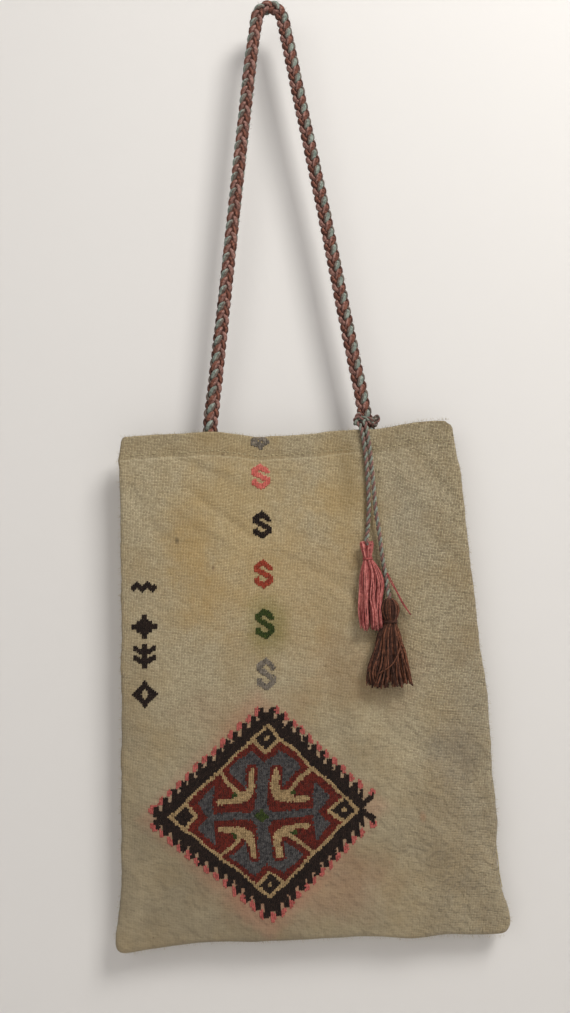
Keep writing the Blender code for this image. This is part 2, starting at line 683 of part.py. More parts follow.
def make_medallion(paint, collection):
    """The hooked diamond: plates of one colour each, nested with a clear line between them."""
    middle = (MEDALLION_X, BASE_Z + MEDALLION_RISE)
    top = CORNER_CENTRE - CORNER_CREAM
    tip = DARK_BASE + PINK_CORNER
    pink = scaled(four_quarters(pink_edge_quarter(), tip, tip))
    teeth = scaled(four_quarters(sawtooth(TOOTH_RISE), DARK_BASE, DARK_BASE))
    frame = scaled(diamond(CREAM_OUTER))
    fork = scaled(four_quarters(cream_quarter(), top, top))
    blue = scaled(four_quarters([Vector(point) for point in BLUE_QUARTER], BLUE_TOP, BLUE_TOP))
    green = scaled(diamond(GREEN_SIZE))
    corner_centres = {"top": (0.0, CORNER_CENTRE), "right": (CORNER_CENTRE, 0.0),
                      "bottom": (0.0, -CORNER_CENTRE), "left": (-CORNER_CENTRE, 0.0)}
    corners = {side: scaled(diamond(CORNER_DARK, centre)) for side, centre in corner_centres.items()}

    def plate(name, outline, holes, colour):
        shrunk = offset_loop(outline, -MOTIF_GAP)
        grown = [offset_loop(hole, MOTIF_GAP) for hole in holes]
        make_plate(name, shrunk, grown, middle, MOTIF_TILT, paint[colour], collection)

    plate("medallion_pink_edge", pink, [teeth], "pink")
    plate("medallion_dark_border", teeth, [frame], "dark")
    plate("medallion_cream_frame", frame, [fork, *corners.values()], "cream")
    plate("medallion_red_field", fork, [blue], "red")
    plate("medallion_blue_cross", blue, [green], "blue")
    plate("medallion_green_centre", green, [], "green")
    for side, outline in corners.items():
        dot = [] if side == "left" else [scaled(diamond(CORNER_DOT, corner_centres[side]))]
        plate(f"corner_diamond_{side}", outline, dot, "dark")


def grain_x(x, z):
    """Follow the cloth's grain: x of a column at height z, given x at the rim."""
    return x + (z - RIM_Z) * math.tan(math.radians(MOTIF_TILT)) * 0.9


def make_hooks(paint, collection):
    """The column of S hooks, the topmost one half swallowed by the hem."""
    flat_top = rim_height(HOOK_COLUMN_X) - HEM_RADIUS - GAP
    rim_hook = [Vector((across * HOOK_WIDTH / 2, down * RIM_HOOK_DEPTH)) for across, down in RIM_HOOK]
    middle = (HOOK_COLUMN_X, flat_top)
    make_plate("hook_1", rim_hook[::-1], [], middle, 0.0, paint["grey_mauve"], collection)
    for index, colour in enumerate(("pink", "dark", "rust", "green", "grey_mauve")):
        z = RIM_Z - HOOK_FIRST_DROP - index * HOOK_PITCH
        half_width = (HOOK_WIDTH - HOOK_STROKE) / 2
        half_height = (HOOK_HEIGHT + index * HOOK_GROWTH - HOOK_STROKE) / 2
        outline = ribbon([Vector((x * half_width, y * half_height)) for x, y in HOOK_SPINE], HOOK_STROKE)
        middle = (grain_x(HOOK_COLUMN_X, z), z)
        make_plate(f"hook_{index + 2}", outline, [], middle, MOTIF_TILT, paint[colour], collection)


def mark_outlines():
    """Four small traditional marks: running water, a cross, a branch and an open diamond."""
    half = MARK_WIDTH / 2
    low, tall, branch_tall, high = (height / 2 for height in MARK_HEIGHTS)
    water = [Vector((x * half, y * (low - MARK_STROKE / 2))) for x, y in WATER_SPINE]
    arm = MARK_STROKE * 0.6
    step = arm * 1.9
    cross_quarter = [(arm, tall), (arm, tall * 0.62), (step, tall * 0.62), (step, step), (half * 0.62, step),
                     (half * 0.62, arm), (half, arm)]
    cross = four_quarters([Vector(point) for point in cross_quarter], tall, half)
    right = [Vector((x * half, y * branch_tall)) for x, y in BRANCH_SIDE]
    branch = right + [Vector((-point.x, point.y)) for point in right[::-1]]
    rim = [Vector((0.0, high)), Vector((half, 0.0)), Vector((0.0, -high)), Vector((-half, 0.0))]
    hole = offset_loop(rim, -1.25 * MARK_STROKE)
    return [(ribbon(water, MARK_STROKE), []), (cross, []), (branch, []), (rim, [hole])]


def make_marks(paint, collection):
    """The column of small dark marks by the left edge."""
    for index, ((outline, holes), drop) in enumerate(zip(mark_outlines(), MARK_DROPS)):
        z = RIM_Z - drop
        middle = (grain_x(MARK_COLUMN_X, z), z)
        make_plate(f"mark_{index + 1}", outline, holes, middle, MOTIF_TILT, paint["dark"], collection)


def make_tail(name, side, length, sway, end, paint, collection):
    """A tail from the knot to its tassel's head; returns the tassel's top."""
    route = tail_route(side, length, sway, *end)
    make_wire(f"tail_cord_{name}", smooth_route(route, 3), TAIL_RADIUS, paint["turquoise"], collection, 2)
    return route[-1] - Vector((0.0, 0.0, GAP))


def make_tails_and_tassels(paint, collection):
    """The two tails from the knot, each with its tassel and the tassel's binding."""
    pink_end = (STRAP_RIGHT_X - PINK_TASSEL_SHIFT, FRONT_Y - 2 * GAP - PINK_TASSEL_HEAD[1])
    top = make_tail("pink", -1, PINK_TAIL_LENGTH, PINK_SWAY, pink_end, paint, collection)
    rows = tassel_stations(PINK_TASSEL_LENGTH, PINK_TASSEL_HEAD, PINK_NECK_RADIUS, PINK_SKIRT_WIDTH,
                           PINK_SKIRT_DEPTH, 0.0)
    yarn = paint["tassel_pink"]
    make_tassel("tassel_pink", top, rows, yarn, collection)
    make_binding("tassel_pink_binding", top, PINK_TASSEL_HEAD, PINK_NECK_RADIUS, yarn, collection)

    brown_x = pink_end[0] + PINK_SKIRT_WIDTH / 2 + BROWN_TASSEL_HEAD[0] + 2 * GAP
    brown_end = (brown_x, FRONT_Y - 2 * GAP - BROWN_TASSEL_HEAD[1])
    top = make_tail("brown", 1, BROWN_TAIL_LENGTH, BROWN_SWAY, brown_end, paint, collection)
    rows = tassel_stations(BROWN_TASSEL_LENGTH, BROWN_TASSEL_HEAD, BROWN_NECK_RADIUS, BROWN_SKIRT_WIDTH,
                           BROWN_SKIRT_DEPTH, BROWN_TASSEL_LEAN)
    yarn = paint["tassel_brown"]
    make_tassel("tassel_brown", top, rows, yarn, collection)
    make_binding("tassel_brown_binding", top, BROWN_TASSEL_HEAD, BROWN_NECK_RADIUS, yarn, collection)


def make_paint():
    """One material for each dyed yarn and for the cloth."""
    colours = {"cloth": BEIGE, "thread": THREAD_BEIGE, "strap": STRAP_BROWN, "turquoise": TURQUOISE,
               "pink": PINK, "tassel_pink": TASSEL_PINK, "tassel_brown": TASSEL_BROWN, "dark": DARK_BROWN,
               "rust": RUST, "red": RED, "green": GREEN, "grey_mauve": GREY_MAUVE, "blue": BLUE_GREY,
               "cream": CREAM}
    return {name: make_material(name, colour) for name, colour in colours.items()}


def main():
    """Build the bag."""
    clear_scene()
    collection = bpy.data.collections.new("kilim_shoulder_bag")
    bpy.context.scene.collection.children.link(collection)
    paint = make_paint()
    make_bag_cloth(paint["cloth"], collection)
    make_hem_thread("hem_thread_front", True, paint["thread"], collection)
    make_hem_thread("hem_thread_back", False, paint["thread"], collection)
    make_seam_thread("side_seam_thread_left", -1, paint["thread"], collection)
    make_seam_thread("side_seam_thread_right", 1, paint["thread"], collection)
    make_wire("strap_braid", strap_route(), STRAP_RADIUS, paint["strap"], collection, 2)
    make_strap_tack("strap_tack_left", STRAP_LEFT_X, paint["thread"], collection)
    make_strap_tack("strap_tack_right", STRAP_RIGHT_X, paint["thread"], collection)
    make_tail_knot(paint["strap"], collection)
    make_tails_and_tassels(paint, collection)
    make_hooks(paint, collection)
    make_marks(paint, collection)
    make_medallion(paint, collection)


main()
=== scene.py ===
"""Looks of the kilim shoulder bag.

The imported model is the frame. Handspun cloth, worked motifs, the braided strap, the twisted tails and the
tassels are built on it, in metres, with the bag hanging and its front facing -Y.
"""

from __future__ import annotations

import json
import logging
import math
import random
from dataclasses import dataclass, field
from enum import Enum
from typing import Sequence

import bmesh
import bpy
import numpy as np
from mathutils import Matrix, Vector, noise

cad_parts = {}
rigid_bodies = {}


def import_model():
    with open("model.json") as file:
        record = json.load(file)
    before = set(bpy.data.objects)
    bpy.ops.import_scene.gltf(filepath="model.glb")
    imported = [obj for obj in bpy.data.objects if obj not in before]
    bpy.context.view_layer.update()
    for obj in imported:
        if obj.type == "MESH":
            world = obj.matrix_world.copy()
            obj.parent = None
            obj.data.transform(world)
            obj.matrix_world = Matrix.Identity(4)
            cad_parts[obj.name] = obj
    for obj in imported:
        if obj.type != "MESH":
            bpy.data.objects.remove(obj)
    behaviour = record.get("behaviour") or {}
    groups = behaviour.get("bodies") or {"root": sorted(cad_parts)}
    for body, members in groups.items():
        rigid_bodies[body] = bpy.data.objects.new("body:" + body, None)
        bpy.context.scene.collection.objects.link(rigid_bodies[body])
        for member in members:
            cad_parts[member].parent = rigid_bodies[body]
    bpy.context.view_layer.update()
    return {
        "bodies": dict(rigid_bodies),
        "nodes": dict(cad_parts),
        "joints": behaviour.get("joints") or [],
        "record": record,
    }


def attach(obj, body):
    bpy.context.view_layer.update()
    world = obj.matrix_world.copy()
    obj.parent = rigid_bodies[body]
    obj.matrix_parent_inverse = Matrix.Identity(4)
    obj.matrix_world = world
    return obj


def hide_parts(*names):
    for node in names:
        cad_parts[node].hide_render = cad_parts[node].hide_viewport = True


LOG = logging.getLogger("shoulder_bag")
Triple = tuple[float, float, float]
Colour = Triple
Place = tuple[float, float]
Outline = Sequence[Place]
Row = tuple[float, float, float, float]
Points = list[Vector]
Frames = list[tuple[Vector, Vector]]
Material = bpy.types.Material
Node = bpy.types.Node
Piece = bpy.types.Object
FRONT = Vector((0.0, -1.0, 0.0))
GAP = 0.0003


def dye(red: int, green: int, blue: int) -> Colour:
    """Turn a colour as a screen shows it, 0 to 255, into the linear value that a shader takes."""
    levels = (channel / 255.0 for channel in (red, green, blue))
    return tuple(c / 12.92 if c <= 0.04045 else ((c + 0.055) / 1.055) ** 2.4 for c in levels)


def smooth(value: float) -> float:
    """Blend from 0 to 1, level at both ends."""
    t = min(max(value, 0.0), 1.0)
    return t * t * (3.0 - 2.0 * t)


def hill(distance: float, width: float) -> float:
    """A soft bump of height 1 that fades over about this width."""
    return math.exp(-((distance / width) ** 2))


def hills(place: float, bumps: Sequence[Triple]) -> float:
    """Sum of soft bumps, each given by its height, its middle and its width."""
    return sum(height * hill(place - middle, width) for height, middle, width in bumps)


def ripple(height: float, x: float, y: float, z: float) -> float:
    """Smooth unevenness of this height, at a place counted in waves."""
    return height * noise.noise(Vector((x, y, z)))


def smooth_route(route: Sequence[Vector], steps: int) -> Points:
    """Points along a smooth curve through a route.

    Args:
        route: The points that the curve goes through.
        steps: How many points each stretch between two of them gets.

    Returns:
        The points, the route's own ends included.
    """
    ends = [2 * route[0] - route[1], *route, 2 * route[-1] - route[-2]]
    points: Points = []
    for a, b, c, d in zip(ends, ends[1:], ends[2:], ends[3:]):
        for step in range(steps):
            t = step / steps
            points.append(0.5 * (2 * b + (c - a) * t + (2 * a - 5 * b + 4 * c - d) * t**2
                                 + (3 * b - a - 3 * c + d) * t**3))
    return points + [route[-1]]


def route_length(points: Sequence[Vector]) -> float:
    """Length of a line of points."""
    return sum((b - a).length for a, b in zip(points, points[1:]))


def even_route(points: Sequence[Vector], spacing: float) -> Points:
    """Walk a line of points again in even steps.

    Args:
        points: The line.
        spacing: About how long each step is.

    Returns:
        The points at the steps' ends.
    """
    steps = [(b - a).length for a, b in zip(points, points[1:])]
    total = sum(steps)
    count = max(2, round(total / spacing))
    even: Points = []
    index, passed = 0, 0.0
    for number in range(count + 1):
        target = total * number / count
        while index < len(steps) - 1 and passed + steps[index] < target:
            passed += steps[index]
            index += 1
        even.append(points[index].lerp(points[index + 1], min(1.0, (target - passed) / steps[index])))
    return even


def frames_along(points: Sequence[Vector], start: Vector) -> Frames:
    """Two directions square to a line at each of its points, carried along without twist.

    Args:
        points: The line.
        start: The way that the first direction faces at the line's start.

    Returns:
        For each point, the direction that began as start and the one to its left.
    """
    frames = []
    facing = start
    for index, _ in enumerate(points):
        ahead = (points[min(index + 1, len(points) - 1)] - points[max(index - 1, 0)]).normalized()
        facing = (facing - ahead * facing.dot(ahead)).normalized()
        frames.append((facing, ahead.cross(facing)))
    return frames


def make_piece(name: str, part: bmesh.types.BMesh, materials: Sequence[Material]) -> Piece:
    """Make an object of a finished mesh.

    Args:
        name: The object's name.
        part: The mesh, which is freed.
        materials: Its materials, in the order of their slots.

    Returns:
        The object, at the origin.
    """
    mesh = bpy.data.meshes.new(name)
    part.to_mesh(mesh)
    part.free()
    for material in materials:
        mesh.materials.append(material)
    piece = bpy.data.objects.new(name, mesh)
    bpy.context.scene.collection.objects.link(piece)
    LOG.info("%s: %d faces", name, len(mesh.polygons))
    return piece


def declare(piece: Piece, slot: str, *stands_for: str) -> Piece:
    """Attach a piece to the bag, and hide the nodes that it replaces.

    Args:
        piece: The piece, which rides on the bag.
        slot: The record's material slot; not used.
        stands_for: The nodes that it replaces, if any.

    Returns:
        The same piece.
    """
    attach(piece, "root")
    if stands_for:
        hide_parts(*stands_for)
    return piece


class Weld:
    """Gathers many small meshes into one piece."""

    def __init__(self, name: str) -> None:
        """Start an empty piece of this name."""
        self.name, self.whole = name, bmesh.new()
        self.whole.loops.layers.uv.new("yarn")

    def sweep(self, points: Sequence[Vector], radius: float | Sequence[float], sides: int,
              slot: int = 0, facing: Vector = Vector((0.3, -1.0, 0.1)).normalized()) -> None:
        """Add a round yarn along a line, with its ends closed.

        Args:
            points: The yarn's middle line.
            radius: Its radius, or one for each point.
            sides: How many faces go round it.
            slot: The material slot of its faces.
            facing: A direction that the line never runs along.
        """
        radii = [radius] * len(points) if isinstance(radius, float) else radius
        frames = frames_along(points, facing)
        tube = bmesh.new()
        bmesh.ops.create_grid(tube, x_segments=sides, y_segments=len(points) - 1, size=0.5)
        uv = tube.loops.layers.uv.new("yarn")
        run = route_length(points)
        for face in tube.faces:
            face.material_index = slot
            face.smooth = True
            for loop in face.loops:
                across, along = loop.vert.co.x + 0.5, loop.vert.co.y + 0.5
                loop[uv].uv = (across * math.tau * radii[0], along * run)
        for vert in tube.verts:
            turn = (vert.co.x + 0.5) * math.tau
            index = round((vert.co.y + 0.5) * (len(points) - 1))
            out, left = frames[index]
            vert.co = points[index] + radii[index] * (math.cos(turn) * out + math.sin(turn) * left)
        bmesh.ops.remove_doubles(tube, verts=tube.verts, dist=radii[0] * 0.02)
        caps = bmesh.ops.holes_fill(tube, edges=[edge for edge in tube.edges if edge.is_boundary], sides=0)
        for face in caps["faces"]:
            face.material_index = slot
        carrier = bpy.data.meshes.new("carrier")
        tube.to_mesh(carrier)
        tube.free()
        self.whole.from_mesh(carrier)
        bpy.data.meshes.remove(carrier)

    def finish(self, slot: str, materials: Sequence[Material], *stands_for: str) -> Piece:
        """Make the piece, with what it is made of and the nodes that it stands for."""
        return declare(make_piece(self.name, self.whole, materials), slot, *stands_for)


class Wire:
    """A value that flows through a node tree. Arithmetic on it adds nodes to the tree."""

    def __init__(self, sketch: Sketch, socket: bpy.types.NodeSocket) -> None:
        """Follow an output socket of the sketch's tree."""
        self.sketch, self.socket = sketch, socket

    def __add__(self, other: Wire | float) -> Wire:
        """Sum."""
        return self.sketch.maths("ADD", self, other)

    def __sub__(self, other: Wire | float) -> Wire:
        """Difference."""
        return self.sketch.maths("SUBTRACT", self, other)

    def __rsub__(self, other: float) -> Wire:
        """Difference from a plain number."""
        return self.sketch.maths("SUBTRACT", other, self)

    def __mul__(self, other: Wire | float) -> Wire:
        """Product."""
        return self.sketch.maths("MULTIPLY", self, other)

    def __truediv__(self, other: Wire | float) -> Wire:
        """Quotient."""
        return self.sketch.maths("DIVIDE", self, other)

    def __abs__(self) -> Wire:
        """Size without sign."""
        return self.sketch.maths("ABSOLUTE", self)


class Sketch:
    """Short calls that lay out the nodes of a material or a group."""

    def __init__(self, tree: bpy.types.NodeTree) -> None:
        """Work in this node tree."""
        self.tree = tree

    def node(self, kind: str, inputs: dict[str | int, object], **settings: object) -> Node:
        """Add a node.

        Args:
            kind: Its type.
            inputs: What each input is linked to or set to, by name or number.
            settings: Its other settings.

        Returns:
            The node.
        """
        made = self.tree.nodes.new(kind)
        for name, value in settings.items():
            setattr(made, name, value)
        for key, value in inputs.items():
            self.feed(made.inputs[key], value)
        return made

    def read(self, kind: str, output: str | int, inputs: dict[str | int, object] | None = None,
             **settings: object) -> Wire:
        """Add a node and follow one of its outputs."""
        return Wire(self, self.node(kind, inputs or {}, **settings).outputs[output])

    def feed(self, socket: bpy.types.NodeSocket, value: object) -> None:
        """Link or set an input socket.

        Args:
            socket: The socket.
            value: A wire to link, or a plain value to set.
        """
        if isinstance(value, Wire):
            self.tree.links.new(value.socket, socket)
        elif socket.type == "RGBA":
            socket.default_value = (*value, 1.0)
        else:
            socket.default_value = value

    def maths(self, operation: str, *values: object) -> Wire:
        """One step of arithmetic."""
        return self.read("ShaderNodeMath", 0, dict(enumerate(values)), operation=operation)

    def vector(self, operation: str, *values: object) -> Wire:
        """One step of arithmetic on vectors; the scalar result where the step has one."""
        output = "Value" if operation in {"LENGTH", "DOT_PRODUCT"} else "Vector"
        return self.read("ShaderNodeVectorMath", output, dict(enumerate(values)), operation=operation)

    def axes(self, place: Wire) -> list[Wire]:
        """X, Y and Z of a place."""
        return [Wire(self, axis) for axis in self.node("ShaderNodeSeparateXYZ", {0: place}).outputs]

    def ramp(self, value: Wire, low: float, high: float) -> Wire:
        """Rise smoothly from 0 at low to 1 at high."""
        limits = {"Value": value, "From Min": low, "From Max": high}
        return self.read("ShaderNodeMapRange", "Result", limits, interpolation_type="SMOOTHSTEP")

    def mix(self, share: object, first: object, second: object, way: str = "MIX") -> Wire:
        """Blend two colours."""
        colours = {"Factor": share, 6: first, 7: second}
        return self.read("ShaderNodeMix", 2, colours, data_type="RGBA", blend_type=way)

    def tint(self, share: object, colour: Wire, towards: Colour, strength: float, way: str = "MIX") -> Wire:
        """Where share is 1, bring a colour this much of the way towards another."""
        return self.mix(share, colour, self.mix(strength, colour, towards, way))

    def noise(self, place: Wire, scale: float, detail: float = 2.0, rough: float = 0.5) -> Wire:
        """Cloudy noise from 0 to 1 at this many waves to the metre."""
        inputs = {"Vector": place, "Scale": scale, "Detail": detail, "Roughness": rough}
        return self.read("ShaderNodeTexNoise", "Fac", inputs)

    def stretch(self, place: Wire, scale: Triple, turn: float) -> Wire:
        """Stretch a place, and turn it about Z by this many degrees."""
        inputs = {"Vector": place, "Scale": scale, "Rotation": (0.0, 0.0, math.radians(turn))}
        return self.read("ShaderNodeMapping", "Vector", inputs)

    def lean(self, place: Wire, scale: Triple, turn: float) -> Wire:
        """Turn a place about Y, then stretch it.

        Args:
            place: The place.
            scale: How much it is stretched along each axis.
            turn: How far it is turned, in degrees.

        Returns:
            The new place.
        """
        inputs = {"Vector": place, "Angle": math.radians(turn)}
        turned = self.read("ShaderNodeVectorRotate", "Vector", inputs, rotation_type="Y_AXIS")
        return self.vector("MULTIPLY", turned, scale)

    def relief(self, height: Wire, depth: float, **below: Wire) -> Wire:
        """Normal of a surface raised by a height, this deep, over the Normal of the relief below it."""
        return self.read("ShaderNodeBump", "Normal", {"Distance": depth, "Height": height, **below})

    def group(self, tree: bpy.types.NodeTree, **inputs: object) -> list[Wire]:
        """Place a node group, and follow all its outputs."""
        return [Wire(self, output) for output in self.node("ShaderNodeGroup", inputs, node_tree=tree).outputs]


def new_group(name: str, takes: Sequence[str], gives: Sequence[str]) -> tuple[Sketch, dict[str, Wire], Node]:
    """Start a shader node group.

    Args:
        name: The group's name.
        takes: The names of its inputs, places first.
        gives: The names of its outputs, which are all plain numbers.

    Returns:
        The sketch of its tree, its inputs by name, and its output node.
    """
    tree = bpy.data.node_groups.new(name, "ShaderNodeTree")
    for label in takes:
        kind = "NodeSocketVector" if label in {"Vector", "Centre", "Reach"} else "NodeSocketFloat"
        tree.interface.new_socket(label, in_out="INPUT", socket_type=kind)
    for label in gives:
        tree.interface.new_socket(label, in_out="OUTPUT", socket_type="NodeSocketFloat")
    sketch = Sketch(tree)
    entry = sketch.node("NodeGroupInput", {})
    given = {label: Wire(sketch, entry.outputs[label]) for label in takes}
    return sketch, given, sketch.node("NodeGroupOutput", {})


def new_material(name: str, values: dict[str, object]) -> tuple[Material, Sketch, Node]:
    """Start a material.

    Args:
        name: The material's name.
        values: The shader's plain values, by input.

    Returns:
        The material, the sketch of its tree, and its shader.
    """
    material = bpy.data.materials.new(name)
    material.use_nodes = True
    sk = Sketch(material.node_tree)
    shader = material.node_tree.nodes["Principled BSDF"]
    for label, value in values.items():
        sk.feed(shader.inputs[label], value)
    return material, sk, shader


def weave_group() -> bpy.types.NodeTree:
    """Plain weave of uneven threads.

    Returns:
        The group. It gives the weave's height, a tone that differs from thread to thread, and one that
        differs from crossing to crossing.
    """
    takes = ("Vector", "Across", "Down", "Wander")
    sk, given, out = new_group("plain weave", takes, ("Height", "Tone", "Knot"))
    drift = sk.read("ShaderNodeTexNoise", "Color", {"Vector": given["Vector"], "Scale": 55.0, "Detail": 3.0})
    centred = sk.vector("SUBTRACT", drift, (0.5, 0.5, 0.5))
    x, y, _ = sk.axes(sk.vector("MULTIPLY_ADD", centred, given["Wander"], given["Vector"]))
    # The shift of 4000 threads keeps every thread's number above zero.
    across, down = x / given["Across"] + 4000.0, y / given["Down"] + 4000.0
    column, row = sk.maths("FLOOR", across), sk.maths("FLOOR", down)
    over = sk.maths("MODULO", column + row, 2.0)
    ridge, rung = (sk.maths("SINE", sk.maths("FRACT", run) * math.pi) for run in (across, down))
    warp = sk.maths("POWER", ridge, 0.6) * sk.maths("MULTIPLY_ADD", rung, 0.45, 0.55)
    weft = sk.maths("POWER", rung, 0.6) * sk.maths("MULTIPLY_ADD", ridge, 0.45, 0.55)

    def tone(number: Wire, run: Wire, shift: float) -> Wire:
        """Tone of one thread, changing slowly along its run."""
        inputs = {"X": sk.maths("MULTIPLY_ADD", number, 7.31, shift), "Y": run * 0.11}
        return sk.noise(sk.read("ShaderNodeCombineXYZ", 0, inputs), 1.0, 3.0, 0.7)

    tones = (tone(column, down, 0.0), tone(row, across, 91.7))
    for label, warp_value, weft_value in (("Height", warp, weft), ("Tone", *tones)):
        inputs = {"Factor": over, 2: weft_value, 3: warp_value}
        sk.feed(out.inputs[label], sk.read("ShaderNodeMix", 0, inputs, data_type="FLOAT"))
    crossing = sk.read("ShaderNodeCombineXYZ", 0, {"X": column, "Y": row})
    sk.feed(out.inputs["Knot"], sk.read("ShaderNodeTexWhiteNoise", "Value", {"Vector": crossing}))
    return sk.tree


def fibre_group() -> bpy.types.NodeTree:
    """Twisted wool: fine slanted hairs, and a tone that changes from place to place.

    Returns:
        The group. It gives the hairs' height and the tone.
    """
    sk, given, out = new_group("twisted wool", ("Vector",), ("Height", "Tone"))
    hairs = sk.noise(sk.stretch(given["Vector"], (2600.0, 520.0, 2600.0), 24.0), 1.0, 3.0, 0.6)
    sk.feed(out.inputs["Height"], hairs)
    sk.feed(out.inputs["Tone"], hairs * 0.55 + sk.noise(given["Vector"], 420.0) * 0.45)
    return sk.tree


def patch_group() -> bpy.types.NodeTree:
    """Mask of one tint patch, for staining and painted shade alike, with a ragged, soft edge.

    Returns:
        The group. It gives the mask, 1 in the patch's middle.
    """
    sk, given, out = new_group("stain_and_shade", ("Vector", "Centre", "Reach", "Ragged"), ("Mask",))
    away = sk.vector("DIVIDE", sk.vector("SUBTRACT", given["Vector"], given["Centre"]), given["Reach"])
    edge = (sk.noise(given["Vector"], 38.0, 4.0) - 0.5) * given["Ragged"]
    sk.feed(out.inputs["Mask"], 1.0 - sk.ramp(sk.vector("LENGTH", away) + edge, 0.15, 1.15))
    return sk.tree


class Groups:
    """The node groups that the materials share, each built once."""

    def __init__(self) -> None:
        """Build the groups."""
        self.weave = weave_group()
        self.fibre = fibre_group()
        self.patch = patch_group()


@dataclass(frozen=True)
class StainAndShade:
    """A tint on the cloth, for stained patches and painted shade alike: its middle and reach across and up,
    its colour and its strength.
    """

    middle: Place
    reach: Place
    colour: Colour
    strength: float
    ragged: float = 1.2

    def mask(self, sk: Sketch, groups: Groups, place: Wire) -> Wire:
        """Strength of the patch over the cloth.

        Args:
            sk: The sketch of the cloth's material.
            groups: The shared node groups.
            place: The place on the cloth.

        Returns:
            The strength. A broad patch reaches through to the back, and a small one does not.
        """
        through = 0.2 if max(self.reach) > 0.07 else 0.02
        centre, reach = (self.middle[0], -0.012, self.middle[1]), (self.reach[0], through, self.reach[1])
        (patch,) = sk.group(groups.patch, Vector=place, Centre=centre, Reach=reach, Ragged=self.ragged)
        return patch * self.strength


